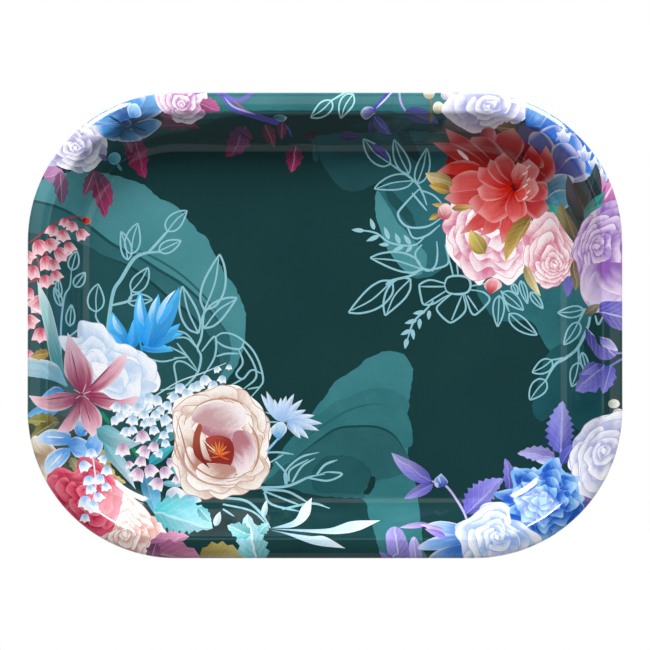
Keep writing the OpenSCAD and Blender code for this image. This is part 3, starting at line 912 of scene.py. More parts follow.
valley_bells = [
    (-53.5, -21.8, 1.8, 10), (-51.2, -22.5, 1.8, -20), (-46, -21.5, 1.7, 0), (-44, -18.8, 1.7, 20),
    (-42, -20.3, 1.7, -10), (-41.5, -23, 1.3, 10), (-38.5, -18, 1.7, 20), (-36.5, -16.3, 1.7, 0),
    (-34, -17.8, 1.5, -20), (-31.3, -16, 1.3, 10), (-32.8, -13, 1.1, 0), (-29.2, -12.3, 0.9, 0),
    (-62, -27, 1.8, 20), (-57, -25, 2, 0), (-60.5, -32, 1.6, 10), (-53, -28.8, 1.6, -10),
    (-48.5, -28.5, 1.8, 10), (-49, -33, 1.4, 0), (-48.5, -35.5, 1.3, 20), (-50, -25.5, 1.4, 0),
    (-55, -29.5, 1.2, 0), (-46.5, -25.5, 1.2, 20), (-63.5, -24.5, 1.6, 0), (-60.5, -24.8, 1.5, 20),
    (-58.5, -28.5, 1.7, 0), (-55, -26.8, 1.5, -20), (-51.5, -26.8, 1.5, 0), (-47, -30.8, 1.4, 10),
    (-58.5, -31.5, 1.4, -10), (-52, -31.5, 1.5, 10), (-63.8, -28.5, 1.5, 10), (-40, -18.5, 1.5, 0),
    (-48, -24, 1.5, 0), (-50.5, -38.5, 1.4, 0), (-44.5, -23, 1.4, 10)]
blush_bells = [
    (-55.5, -33.5, 2.1, 10), (-61.5, -37.5, 2.1, 0), (-55, -38, 2, -10), (-52, -36.5, 1.6, 0),
    (-56, -41, 1.7, 10), (-57, -45, 2.2, 0), (-53, -43.8, 2.1, 10), (-48.5, -44.3, 2, 0),
    (-46.8, -41.3, 1.5, 20), (-51, -47.8, 2.1, 0), (-45, -46.5, 1.4, 10), (-59.5, -42, 1.3, 0)]
printed("valley_bells",
        line(0.4, (-56, -24), (-50, -20), (-44, -16.5), (-37, -14), (-30, -11), colour="bcd8dc"),
        line(0.4, (-60, -36), (-55, -31), (-50, -26), (-44, -21), colour="a8ccd4"),
        line(0.4, (-58, -44), (-54, -39), (-50, -33), colour="a8ccd4"),
        *bells("9cc4e0", "f8fbfe", valley_bells), *bells("b48cb4", "f8eff5", blush_bells))
printed("white_petals_bottom",
        petal("b0b8d0", "f8f7fb", (-48.5, -53.5), (-48, -50), (-45, -48.8), (-41, -52), (-44, -54)),
        petal("6aa8d0", "b0d8ea", (-43, -51.5), (-40, -51), (-37.5, -53), (-41, -53.6)))
printed("teal_leaf_bottom_left",
        leaf("3aa4ac", "9ad2de", (-52, -56.5), (-34, -61.5), 10.5, 0.08, 8, 0.3),
        leaf("3aa0a8", "8accd8", (-38.5, -55), (-34.5, -59.5), 3, 0, 3, 0.6))
printed("mauve_leaves_bottom",
        leaf("824770", "c98cab", (-53, -67.5), (-41, -64), 4.6, 0.08, 4),
        leaf("7a3f68", "bf7b98", (-53, -68.5), (-35.5, -72.5), 7, 0.06, 5),
        leaf("5a2a50", "a06088", (-51, -66), (-53, -72), 4, 0, 3),
        leaf("7a6a30", "b8ac6a", (-38, -70), (-24, -70), 6.5, 0.06, 5))
printed("cream_peony",
        *rose(-32.3, -36.5, "dcbcaa", "fdf8f2", ((1.02, 9), (0.87, 8), (0.71, 7), (0.56, 6)),
              (-46.5, -26), (-45, -22), (-38, -20), (-34, -18.4), (-27, -17.8), (-23.5, -20.5),
              (-19.5, -24), (-17.6, -28.5), (-16.2, -32.5), (-18, -37.5), (-16.6, -42), (-18.3, -46.5),
              (-21, -49), (-28, -51), (-35, -51.8), (-42.5, -49), (-46.5, -41), (-45.6, -35), seed=53,
              edge=0.4, outline_ink="c08a70"),
        petal("8a3c34", "c8806c", (-33.5, -38), (-41.5, -31.5), (-42.6, -38), (-41, -44), (-35, -46.5),
              (-28, -46), (-24.5, -40), (-27, -34), edge=0),
        petal("b06a5c", "f6e8de", (-36, -37), (-41.8, -29.5), (-44.3, -34.5), (-43.6, -42.5), (-40, -43),
              (-40.5, -37)),
        petal("c08478", "f8eee6", (-37, -40), (-41.5, -36.5), (-42.6, -41), (-39.5, -45), (-36.5, -44.5),
              edge=0.7),
        petal("b87482", "eed8dc", (-32, -35.5), (-38.5, -31), (-37, -27.5), (-31, -26.4), (-26, -28),
              (-26.5, -34)),
        petal("c8a0a2", "f6eaea", (-32, -31), (-40.3, -28.5), (-38, -24.3), (-31, -22.8), (-24.6, -25),
              (-25, -30.5)),
        petal("b87884", "f2dfe2", (-28.5, -37.5), (-27.4, -32), (-22.6, -32.4), (-21, -38.6),
              (-23.6, -44), (-28, -44)),
        petal("8f2f2c", "b04a40", (-32, -39), (-36.4, -34.6), (-33, -33), (-28.8, -34.3), (-27.6, -38),
              (-29, -42.4), (-34, -43), (-37.4, -40), edge=0),
        petal("c09488", "f8ece4", (-34.5, -41), (-39.6, -38.5), (-39, -33.6), (-37, -35), (-35.6, -38.4),
              edge=0.8),
        petal("c09084", "f8ebe2", (-32, -41.6), (-38, -41.8), (-38.8, -45.6), (-33, -47.8),
              (-27.6, -45.6), (-27.5, -42.6), edge=0.8),
        petal("7a241c", "a4523e", (-35, -43.2), (-39.6, -39), (-40, -33.5), (-38.4, -29.6), (-37.3, -30.4),
              (-38, -34.5), (-37.2, -39), edge=0),
        crease("b88470", (-45.2, -27), (-43, -34.8), (-41.4, -40.2), (-38.2, -43.6), (-33.5, -45.9),
               (-28, -46), (-24.2, -45), width=0.5),
        crease("c69c88", (-46, -31), (-44.8, -37.2), (-42, -43.4), (-36.6, -47.3), (-30.4, -48.2),
               (-25, -47.6), width=0.5),
        crease("c49a86", (-40.6, -26.4), (-38, -23.6), (-33, -22), (-27, -22.4), (-23, -26), width=0.5),
        crease("c08e7a", (-23.4, -29), (-20.6, -34), (-20.4, -40), (-22.6, -45), width=0.6),
        *(crease("e88a48", (-32.4, -39),
                 (-32.4 + 3.4 * math.cos(math.radians(a)), -38.6 + 3.8 * math.sin(math.radians(a))),
                 width=0.45) for a in (10, 40, 62, 84, 106, 130, 160)),
        *(crease("d8602c", (-32, -39.4), out_from(-32, -39.4, a, r), width=0.5)
          for a, r in ((-20, 3.2), (24, 3.6), (74, 4.4), (118, 3.6), (190, 3))))

# ------------------------------------------------------------------------------------------
# Top middle and bottom middle: loose purple ribbons, wine maple leaves, a purple bud, a small
# cornflower, and pale willow leaves under it.
printed("ribbons_top",
        line(1.2, (-39.5, 70), (-35, 71), (-30, 69.5), (-28, 68.3), (-25, 68.3), (-21.5, 71), (-19, 74),
             colour="6a62ba", ends=(0.4, 0.6)),
        line(1.6, (-33, 71.5), (-31, 69.5), (-28.5, 66.5), (-26, 64.8), (-19, 62.8), (-12, 60.5),
             (-10, 57.5), colour="5a55b5", ends=(0.5, 0.15)),
        crease("b0a8dc", (-30.5, 69), (-27.5, 66), (-21, 63.8)), crease("a05a90", (-28, 68.2), (-24, 65)),
        petal("2a6a80", "4a98a8", (-16, 63), (-14, 63.8), (-11.5, 63), (-13, 61.8)))
printed("maple_leaves_top",
        leaf("5a2840", "7a3050", (-18.2, 61), (-15.3, 54.6), 3.4, 0, 3),
        leaf("5a2840", "80305a", (-13, 62), (-13.2, 56.8), 2.6, 0, 2),
        leaf("5a3a70", "7a2c50", (-24, 60.5), (-30.3, 51.8), 6, 0.06, 4, 0.1),
        leaf("4a3060", "6a2a4a", (-26, 59.5), (-22, 57), 2.5, 0, 2, 0.1),
        leaf("3b173a", "b03068", (-8.8, 55), (-10.2, 47), 4.6, 0, 4),
        leaf("2c3038", "3f2a3e", (-2, 58.5), (-7.3, 57.5), 2.4, 0, 0, 0.0),
        leaf("2a5a60", "265055", (-2.6, 50), (-3, 56.6), 2.2, 0, 0, 0.0),
        leaf("3d3564", "453c70", (4, 58), (11.2, 57.6), 2.8, 0, 0, 0.05))
printed("purple_bud_top",
        line(1.5, (14.5, 65), (17.5, 68), (20.5, 71.5), (23, 75), colour="4a45b0", ends=(0.6, 0.8)),
        crease("c3d1eb", (15.5, 65.6), (18.5, 68.6), (21, 71.5), width=0.5),
        leaf("453e90", "5a50a8", (14.8, 63.5), (20.3, 58.2), 3.2, -0.08),
        petal("4a48a0", "8f9cd0", (15.5, 64.4), (14, 66), (12, 65.9), (10.7, 64), (12.5, 62.4)),
        line(0.5, (14, 62), (13.3, 60.5), (13.7, 58), colour="453e90"),
        line(0.6, (22.5, 74), (22.8, 68), (24.8, 64), colour="a9a0d8"),
        leaf("3c4379", "5a5aa0", (24, 64.5), (34.5, 61.3), 4.4, 0.05, edge=0.1),
        leaf("3f3585", "55489a", (14, 55), (19, 50.8), 2.8, 0.1, edge=0.1))
upper_tips = [(-19.5, -20.4), (-17.8, -19.6), (-15.4, -22), (-13.4, -21.6), (-11.8, -21), (-9.4, -20.4),
              (-6.8, -22.2), (-5.8, -25.3)]
lower_tips = [(-3.2, -27), (-0.8, -29.5), (-1.8, -31.6), (-5, -34), (-7.5, -34), (-8.8, -32.5)]
printed("cornflower",
        line(0.5, (-18, -26), (-13.5, -27.5)), line(0.5, (-18, -29), (-14, -29)),
        *(leaf("86aedd", "d3e4f4", (-13, -29), tip, 2.3, 0.03, edge=0.4) for tip in upper_tips),
        *(leaf("86aedd", "d3e4f4", (-11.5, -29), tip, 2.3, 0.03, edge=0.4) for tip in lower_tips),
        petal("5fa4dc", "b8dcf0", (-14, -34.6), (-16.6, -31.5), (-14.5, -29.2), (-12.5, -29.2),
              (-11.6, -31.5)),
        line(0.7, (-14.2, -34), (-16, -36), (-17.8, -38), colour="8fc8ea"))
printed("willow_leaves",
        leaf("9ac0d4", "d8ecf8", (-18.8, -58.3), (-17.8, -52.8), 1.9),
        leaf("b0cfdf", "d0e8f8", (-33.3, -60.8), (-31.8, -56.3), 2.2),
        petal("9cc8d8", "d8ecf8", (-16.2, -61.4), (-9.5, -59), (-7, -54.8), (-4, -52, 1), (-4.8, -57.5),
              (-9, -60.9)),
        petal("9cc8d8", "d8ecf8", (-16.5, -61.6), (0, -61.6), (8, -59.3), (16.8, -59, 1), (10, -62.2),
              (3, -63.2), (-6, -62.6)),
        petal("9cc8d8", "d0e8f8", (-16.5, -62), (-5, -63.8), (0, -64), (6.2, -67.5, 1), (-3, -66.4),
              (-12, -63.2)),
        leaf("38a8a8", "b1dfef", (-19, -74), (-23.5, -57), 8, 0.06, 6, 0.7),
        leaf("38a8a8", "9ad8e4", (-22.5, -63.5), (-29.6, -60.6), 4.6, 0, 4, 0.7),
        leaf("38a8a8", "9ad8e4", (-20, -63), (-17, -59.8), 3, 0, 3, 0.6))

# ------------------------------------------------------------------------------------------
# Top right: the red dahlia, with pale and blue flowers behind it on the rim and wall, ochre and
# dark leaves, and two pink roses below.
printed("buds_top",
        blob("a8a080", "f0eee0", 31.5, 70.5, 2.1, 1.8, 90),
        blob("a8a080", "eeecda", 34.3, 65.8, 1.9, 1.7, 90),
        line(0.6, (32, 68.5), (32.2, 66), (32, 63), colour="7a7050"),
        leaf("6a6040", "8a8060", (32, 64.3), (32, 61.5), 2),
        blob("a9a8b8", "e8e8ee", 36.8, 70, 2, 1.7, 60))
printed("pale_rose_top_right",
        *rose(49.5, 66, "a0a4d4", "eeecf7", LOOSE, (37, 62.8), (36.3, 66), (38, 70), (41, 75), (50, 77),
              (60, 75), (62, 69), (62, 66.5), (60, 62), (54, 61), (49, 59), (44, 59.2), (39, 62),
              edge=0.4),
        leaf("4a3a24", "8a6a3c", (57.8, 59.5), (52, 60.2), 3.4, 0, 3),
        blob("7a3038", "b86068", 49.5, 58.2, 2.4, 2.2))
printed("blue_flower_top_right",
        petal("34427c", "3f5cae", (66, 52), (59, 54), (58, 58), (61, 61.5), (68, 60), (74, 57), (80, 50),
              (79, 44), (72, 44), (67, 47)),
        petal("2f6ac0", "8fc0f0", (61, 60), (60.5, 64), (61.5, 70), (67, 68.5), (68.5, 64), (67, 60.3)),
        petal("2458b4", "5a9ae4", (64, 57), (66.5, 62.5), (70.5, 66), (74.5, 64.5), (70, 57.3)),
        petal("1f4fa8", "4f94e0", (68, 55), (70.5, 60.5), (76, 64), (82, 58), (77, 52)),
        petal("1f4fa8", "4a8ade", (71, 52), (76, 58.5), (84, 57), (89, 48), (84, 44), (76, 47)),
        petal("2f58ac", "3f74cc", (65, 54), (65, 58.5), (70, 60.5), (73, 57), (71, 53)),
        petal("2f58ac", "4a80d4", (69, 52), (70.5, 57), (75, 58), (78, 53.5), (75, 50)),
        petal("34427c", "4060b0", (67, 51), (62, 54.5), (62.5, 58.3), (66.5, 58), (69.5, 54)),
        petal("34427c", "4f60b0", (69, 48), (69, 54), (73.5, 55), (76.6, 51), (74, 47)),
        petal("2c4080", "3f58a8", (70, 46), (74, 50.8), (78.5, 49.5), (78, 45), (73, 44)),
        *(petal("7a94d0", "f2f5fc", (x, y), (x - 1.5, y + 3.2), (x - 0.3, y + 3.3), (x + 0.8, y + 5.2, 1),
                (x + 1.6, y + 2.8), (x + 3, y + 3.4, 1), (x + 2.2, y + 0.6)) for x,
          y in ((71.5, 55), (77.8, 49.5), (81, 46.5), (83, 42.8))))
printed("teal_petals_right",
        petal("2a5c70", "5a9ab4", (66, 39), (67, 44), (71, 46.2), (75.5, 44.6), (73, 40.5)),
        petal("2f6c84", "5aa4bc", (66, 37.5), (70.5, 41.5), (75.5, 40), (73, 35.8)),
        leaf("1f8a78", "48a89a", (66.5, 36), (72.5, 33.8), 4.2, edge=0.1),
        petal("8a3f80", "e08cc8", (82.6, 35.5), (80.5, 41.8), (83.3, 45.3), (85, 43), (87.5, 45.6),
              (90, 42), (88, 37)),
        crease("8a4a88", (83.2, 37.5), (85, 42.5)), crease("f0c8e4", (84.5, 38), (87.5, 43.3)),
        leaf("142428", "4a6068", (78.5, 32), (73.6, 45.8), 4, 0.05, edge=0.05),
        leaf("101c20", "2c4448", (78.5, 32), (82, 49), 5.4, -0.05, edge=0.05),
        leaf("1f5a5a", "2f8a84", (78.5, 33), (84.8, 40.3), 3.2, edge=0.1),
        leaf("1f6a64", "3f9a90", (78.5, 32), (85, 37), 2.8, edge=0.1),
        leaf("3d3424", "8a7f50", (77.2, 24.5), (71.8, 38), 5.2, 0.1, edge=0.15),
        leaf("3d3424", "98905a", (75.5, 24.5), (69.6, 33), 3.6, edge=0.15),
        blob("8a4a90", "d498d0", 70.8, 25.4, 2.8, 2.4, 40),
        leaf("3a3828", "5a5838", (74.5, 24), (69.5, 23.2), 2.2))
printed("pink_roses",
        *rose(51, 31, "d47698", "fdf3f6", ((1, 9), (0.82, 8), (0.64, 7), (0.48, 6)), (37, 31), (39, 37),
              (45, 42), (55, 42), (62, 36), (62.5, 26), (62, 18.5), (59.5, 15.8), (56, 12.6),
              (52.8, 14.4), (49.5, 15), (47, 12.6), (44.3, 15), (40.6, 18.5), (37, 23.5), seed=3,
              edge=0.5, outline_ink="e08aaa"),
        *rose(70, 18.4, "d47890", "fdf1f3", FULL, (61, 27.5), (65, 33), (69.2, 34.8), (72.3, 30),
              (77, 22.5), (75, 16.5), (70, 12.6), (65.6, 12.8), (61.3, 16.5), (60, 20), seed=7, edge=0.5,
              outline_ink="de8aa2"))
printed("red_dahlia_bed",
        petal("6a1014", "8a1814", (56, 42), (38, 42), (39, 55), (52, 57), (65, 53), (67, 39), (58, 30),
              (47, 32), edge=0))
# The petals of the upper half, nearest the top wall, are printed a deeper red than the rest: painted shade
# cast by the wall.
dahlia = [("8a1014", "a82b2b", (54, 47), (57.5, 50), (60.5, 55), (57, 60), (51.5, 57.5), (50, 51)),
          ("8a1014", "b03232", (60, 46), (64.5, 42.8), (69.5, 45.5), (69.3, 50.5), (67, 54.6), (64, 50)),
          ("8a1014", "ac2b2b", (59, 46), (62, 47.8), (66.5, 48.5), (65, 52), (62.5, 55), (60.3, 51)),
          ("80100f", "a82421", (55, 46), (55.5, 51), (50.5, 57), (44.6, 57.6), (43.6, 55), (48, 50)),
          ("901014", "b83e3c", (53, 46.5), (48.5, 53), (42, 57.6), (36.4, 60), (39, 54.5), (45, 49.6)),
          ("981010", "bc3939", (52, 46), (46, 52), (39.5, 55.5), (32.6, 56), (37.5, 52.2), (44, 48.5)),
          ("b8140a", "c7322b", (51.5, 45.5), (45, 50.3), (38.5, 50), (33.8, 47), (39.5, 46.2), (46, 45.2)),
          ("c01408", "d35957", (56, 43), (46, 47.4), (40, 46), (36.2, 41.5), (41, 40.2), (47, 40.8)),
          ("b01008", "cb5050", (56, 42), (46, 41.8), (38.5, 40.8), (36.2, 39), (41, 36.8), (50, 38)),
          ("b01008", "cf5454", (57, 42), (46, 40), (43.6, 38), (47.3, 33.3), (54, 36.5)),
          ("a81410", "cb4b4b", (57, 42), (47, 35.2), (41, 28.2), (48, 30), (54, 34)),
          ("a81410", "cf5050", (57, 41), (50, 33.8), (47, 27.4), (52, 29.3), (56.5, 34)),
          ("b01410", "d35454", (58, 41), (53.3, 32), (53.7, 25.2), (58, 27.6), (60.3, 34)),
          ("a01414", "c74346", (58, 41), (57.3, 33), (60.7, 30), (63.8, 34.8)),
          ("981418", "c33f43", (59, 42), (60.5, 36), (64.2, 32.8), (68.3, 36), (66, 39.2)),
          ("981418", "c74648", (60, 43), (61.8, 38.2), (67.8, 38.8), (67, 44)),
          ("b81008", "d7615f", (57, 41.5), (50, 38.8), (46.3, 34.7), (51.5, 31.6), (57, 35.5)),
          ("b81008", "d55a5a", (57, 41.5), (54.8, 36), (57.2, 31.6), (61.3, 34.5), (60.4, 39)),
          ("c81c08", "d76463", (57, 42), (50.2, 44), (46.2, 42), (48, 38.6), (53, 38.8)),
          ("c01408", "cf4b49", (57, 42), (52, 47.6), (46.8, 48.6), (46.6, 45), (51, 42.2)),
          ("b01410", "cb5454", (57, 43), (54.6, 48.8), (50.2, 51), (49.5, 47.6), (52.6, 44)),
          ("a01418", "c75050", (57, 43.5), (57.8, 49.2), (54.5, 53), (51.6, 50.6), (53.4, 46.6)),
          ("a81410", "d77372", (58, 42), (62.3, 43.2), (65.2, 47.5), (62, 51), (58.3, 48)),
          ("b01810", "de837f", (58, 41), (61.5, 38.3), (65, 41.4), (63.6, 45.4), (60.6, 43.7)),
          ("b01810", "e6908d", (57.5, 43), (60.8, 44), (61.6, 48.3), (58.6, 50), (56.8, 46.8)),
          ("c82008", "da5950", (57.5, 40.8), (59, 38), (61.6, 39.6), (60.8, 42.6))]


def pointed(base, *rim):
    """A petal's points, with its farthest one from the base drawn sharp"""
    far = max(rim, key=lambda place: math.dist(place, base))
    return [base, *((*place, int(place == far)) for place in rim)]


printed("red_dahlia",
        *(petal(deep, light, *pointed(*points), edge=0.24) for deep, light, *points in dahlia),
        crease("f6e4e0", (40.2, 53.9), (43.8, 50.6), width=1.1),
        *(crease("f8d4d0", (60 + 1.2 * (i % 2), 38.5 + 1.9 * i), (61.8 + 0.8 * (i % 2), 39.8 + 1.9 * i),
                 width=0.5) for i in range(6)))
printed("rose_buds_right",
        petal("b03a40", "f09aa0", (50.3, 9.8), (48.3, 12.5), (50, 14.6), (52.3, 14.5), (53.8, 12.3)),
        leaf("9a8850", "e8dca8", (60.8, 18.8), (65.6, 9.3), 2.8, -0.05),
        leaf("5a4c28", "8a7c4c", (75.4, 20), (76, 10.8), 3.4, 0.08),
        leaf("5a54b0", "7a74d0", (74, 15.5), (73.8, 9), 3))
printed("ochre_leaves_right",
        leaf("8a6c28", "e8d298", (39, 43.5), (30.5, 46.8), 4.8, 0.06),
        leaf("8a6420", "d8b850", (38, 41), (31.6, 43), 3.2, -0.05),
        leaf("8a6420", "d0b060", (38.5, 36.3), (32.5, 37.3), 1.8),
        leaf("8a6420", "d0b060", (38.5, 36), (45, 36.4), 2),
        leaf("8a6420", "d0b060", (34.8, 34.3), (31.6, 32.5), 1.8),
        blob("c05060", "eeb0b0", 36.5, 35, 2.6, 2.2, 80),
        petal("c86a78", "f4d0d0", (36, 33.3), (35, 36), (37, 37.3), (38.6, 35.5)),
        leaf("8a7428", "d8c66c", (48.7, 22.3), (44.3, 29.5), 5, 0.05),
        leaf("7a5c20", "cfae58", (62.8, 33.5), (55, 19.8), 4.6, -0.1))

# ------------------------------------------------------------------------------------------
# Right edge and bottom right: a lilac rose, purple leaves on lilac stems, a white rose, and a
# bright blue peony with a white-blue rose beside it.
printed("lilac_rose",
        *rose(82, 24, "8658b0", "e2cdec", FULL, (75.6, 22), (77, 27.5), (79, 32), (82, 35), (88, 37),
              (96, 37), (97, 22), (96, 8), (90, 6), (84, 5.5), (80.8, 5), (77.8, 9.5), (77.3, 16),
              seed=11, edge=0.3, outline_ink="9470b8"),
        petal("9068b8", "e0cdec", (86, 19), (79, 18), (77.6, 12), (79.5, 7.5), (84, 8), (88, 13),
              edge=0.4),
        petal("7c58b0", "d8c4ea", (87, 18), (81, 15.5), (79.4, 9), (82, 5.4), (88, 6.5), (92, 12),
              edge=0.4),
        petal("8a5cb0", "e8d2ec", (88, 19), (83, 18.8), (82.5, 13), (86, 10), (92, 9), (96, 12), (95, 18),
              edge=0.4),
        leaf("55503a", "9a9070", (79, 3.4), (83.2, 6.4), 2.8))
printed("purple_leaves_right",
        petal("4f4aa8", "9a90e0", (83, 3.8), (83.3, 6.6), (86, 7.2), (96, 6), (96, -2), (87, -0.8),
              kind="leaf"),
        petal("3f3f98", "7470c4", (79, -0.3), (81.5, -3), (83, -6), (88.5, -7.6), (86.5, -10.3),
              (83, -10.2), (80.3, -6.5), (79.1, -4), kind="leaf"),
        petal("6462b0", "b0aede", (83, -3.4), (86.5, -4.6), (88.4, -7.8), (84, -6.3)),
        line(0.7, (88, -8.6), (96, -7.8), colour="8a88c8"),
        leaf("3a409c", "8480d0", (84.5, -12), (76, -19.6), 7.6, 0.06, 3),
        leaf("4448a8", "7774c4", (86.5, -12), (84, -20.8), 4.4, 0, 2),
        leaf("4448a8", "8a88d0", (82.5, -11.6), (77.8, -14.8), 3.4, 0, 2),
        line(0.7, (86, -12.5), (92, -9), (96, -7), colour="7a78c0"),
        blob("a8a8a0", "efeee8", 87.3, -23.8, 1.8, 1.4), blob("a8a8a0", "ecebe4", 88.6, -26.8, 1.8, 1.6))
printed("purple_sprays",
        leaf("4f4ab0", "a8a3dd", (32.5, -47), (20.2, -38.3), 5, 0.05),
        leaf("4f4ab0", "9a94dc", (33, -47.8), (24, -52.3), 3.6),
        line(0.7, (32.5, -47), (36.8, -48.5), (40.5, -53.5), (42.7, -58), (43.5, -63), colour="b8b4e4"),
        petal("3a50a8", "7a9cdc", (36.5, -48.6), (33.8, -48.8), (33.2, -46.6), (35.3, -44.6, 1),
              (37.3, -47)),
        leaf("5550b4", "9a98e4", (43, -57), (54.3, -46.3), 7, 0.08, 9),
        leaf("4a48a0", "8a86d4", (56, -50), (54.6, -40), 3.6, -0.08, 2),
        leaf("7870c0", "b8b4e8", (70, -40), (58.5, -38.6), 4.4, -0.06, 6),
        leaf("8a84c8", "d2d2f2", (70.5, -41.5), (64, -40.7), 2.2),
        leaf("4545b0", "9a9ade", (71.7, -38.5), (72.3, -22.6), 7.4, 0.04, 8),
        line(0.8, (71.7, -37), (71.6, -43), colour="9c98d8"),
        leaf("3a409c", "6468c8", (71.8, -42), (75.8, -35.6), 3.6, 0.05),
        petal("6a60b8", "a8a0e8", (20, -74), (18.3, -64), (20.5, -61), (23.5, -62.3), (25.5, -68),
              (25.5, -74), kind="leaf"),
        petal("7a70c0", "b8b0ee", (26.5, -74), (25.3, -67), (27, -64), (29.3, -68.5), (29, -74),
              kind="leaf"),
        leaf("5450a0", "7a76c4", (21, -71.5), (16.3, -68.5), 2.2),
        leaf("8a70c8", "d4c0f4", (31.3, -60), (22.6, -61.2), 1.8))
printed("white_rose_right",
        *rose(84, -38, "a8aeda", "f5f5fb", LOOSE, (75.6, -36), (80, -29.8), (85, -27.2), (96, -27),
              (97, -38), (91, -47), (86, -50), (81.5, -55.5), (76, -51), (75, -45), (73.6, -42), seed=19,
              edge=0.5, outline_ink="aab0dc"),
        leaf("5048a0", "7a70b8", (71.5, -45), (76.8, -47.3), 2.8),
        leaf("5048a0", "7a6cb4", (74, -52), (82.8, -53.5), 4, -0.1),
        leaf("4a4498", "6a5ca8", (73.5, -53), (78, -57), 2.8))
printed("blue_peony",
        *rose(66, -53, "1c54b8", "82bcf2", ((1.1, 11), (0.88, 9), (0.66, 8), (0.45, 6), (0.26, 4)),
              (51.5, -51.2), (57, -49.3), (56.5, -44), (61, -43), (64.7, -43.5), (68.8, -40), (73, -44.5),
              (76, -46), (77, -52), (78.4, -56), (75, -61), (71, -62), (65, -65), (60, -61.5), (53, -57),
              (55, -54), seed=23, edge=0.35, lobe=POINTED))
printed("white_blue_rose",
        petal("3a78c4", "a8caf4", (43, -63.3), (41.5, -60.6), (35, -59.2), (30.4, -60.8), (35, -63.2)),
        petal("3a70c0", "8ab8ee", (43.5, -64.5), (37, -63.3), (30.5, -65.2), (28.4, -67.8), (38, -67.6)),
        petal("2a60b4", "6ea4e0", (43.5, -66), (35, -67.6), (31, -71), (32, -76), (44, -76)),
        leaf("9a88d0", "e0ccf4", (36, -61.8), (28.6, -60.2), 1.4),
        leaf("8068c8", "b49ae8", (36.5, -64), (30.2, -61.6), 2),
        *rose(52, -64, "8cb0e8", "f8f9fd", LOOSE, (40, -61), (45.5, -57), (50.5, -53.4), (56, -55),
              (55.5, -58), (60.5, -61), (64, -64.3), (63.5, -69), (60, -76), (45, -76), (41.8, -69),
              seed=29, edge=0.5, outline_ink="a4b8e2"))

# ------------------------------------------------------------------------------------------
# The printing. Ink and baked varnish lie on the metal as one skin. All outlines are cut against
# each other and where the sheet bends, and each scrap goes to the last shape over it. No operator
# cuts flat outlines and lays them on a bent sheet, so these skins are built from their points.


def on_sheet(x, y, lift):
    """Where a flat point of the print lies on the pressed sheet, and which way it faces there"""
    near_x = max(-straight_l, min(straight_l, x))
    near_y = max(-straight_w, min(straight_w, y))
    dx, dy = x - near_x, y - near_y
    reach = math.hypot(dx, dy)
    if reach <= cove_x:
        return (x, y, SHEET_T + lift), (0.0, 0.0, 1.0)
    out, up, lean = face_point(reach, lift)
    dx, dy = dx / reach, dy / reach
    return ((near_x + dx * out, near_y + dy * out, up),
            (math.sin(lean) * dx, math.sin(lean) * dy, math.cos(lean)))


def ink_colours(material):
    """What the print itself carries: the outputs of its base and tip colours, whose alphas are its seed
    and how light its edge is, and its place along and across the shape"""
    base = add(material, "ShaderNodeAttribute", {"attribute_name": "base_colour"})
    tip = add(material, "ShaderNodeAttribute", {"attribute_name": "tip_colour"})
    place = add(material, "ShaderNodeUVMap", {"uv_map": "along_across"})
    split = add(material, "ShaderNodeSeparateXYZ", in_0=place.outputs[0])
    return base.outputs, tip.outputs, split.outputs[0], split.outputs[1]


def varnished(material, colour):
    """Ends a printed ink: litho ink under baked gloss varnish, which gives even, bright reflections"""
    place = add(material, "ShaderNodeTexCoord").outputs["Object"]
    # Screen dots 0.3 mm apart are the coarsest grain that a litho print shows
    dots = add(material, "ShaderNodeTexNoise", Vector=place, Scale=3300.0, Detail=1.0)
    grain = add(material, "ShaderNodeMapRange", Value=dots.outputs["Fac"], From_Min=0.3, From_Max=0.7,
                To_Min=0.93, To_Max=1.07)
    toned = add(material, "ShaderNodeVectorMath", {"operation": "SCALE"}, in_0=colour,
                Scale=grain.outputs[0])
    # Baked varnish flows out to long soft waves 6 mm apart
    flow = add(material, "ShaderNodeTexNoise", Vector=place, Scale=160.0, Detail=1.0)
    bump = add(material, "ShaderNodeBump", Height=flow.outputs["Fac"], Strength=0.05, Distance=0.0001)
    return finish_surface(material, Base_Color=toned.outputs[0], Roughness=0.08, Normal=bump.outputs[0])


COLOURS = {"data_type": "RGBA"}
SMOOTH = {"interpolation_type": "SMOOTHSTEP"}
PLUS, TIMES, TIMES_PLUS = ({"operation": name} for name in ("ADD", "MULTIPLY", "MULTIPLY_ADD"))
GREATER, POSITIVE = {"operation": "MAXIMUM"}, {"operation": "ABSOLUTE"}


def ground_ink():
    """Deep green enamel, cloudy at the size of a thumb"""
    m = new_material("deep_green_enamel")
    base, tip, _, _ = ink_colours(m)
    place = add(m, "ShaderNodeTexCoord").outputs["Object"]
    cloud = add(m, "ShaderNodeTexNoise", Vector=place, Scale=35.0, Detail=3.0)
    body = add(m, "ShaderNodeMix", COLOURS, in_0=cloud.outputs["Fac"], in_6=base["Color"], in_7=tip["Color"])
    return varnished(m, body.outputs[2])


def wash_ink():
    """Thin teal wash, laid wet: uneven inside, and a little darker where it pooled"""
    m = new_material("teal_wash")
    base, tip, _, _ = ink_colours(m)
    place = add(m, "ShaderNodeTexCoord").outputs["Object"]
    pool = add(m, "ShaderNodeTexNoise", Vector=place, Scale=45.0, Detail=5.0, Roughness=0.6)
    thin = add(m, "ShaderNodeMapRange", Value=pool.outputs["Fac"], From_Min=0.3, From_Max=0.7)
    body = add(m, "ShaderNodeMix", COLOURS, in_0=thin.outputs[0], in_6=base["Color"], in_7=tip["Color"])
    return varnished(m, body.outputs[2])


def line_ink():
    """Pale aqua line colour, opaque and even"""
    m = new_material("aqua_line_ink")
    base, tip, along, _ = ink_colours(m)
    body = add(m, "ShaderNodeMix", COLOURS, in_0=along, in_6=base["Color"], in_7=tip["Color"])
    return varnished(m, body.outputs[2])


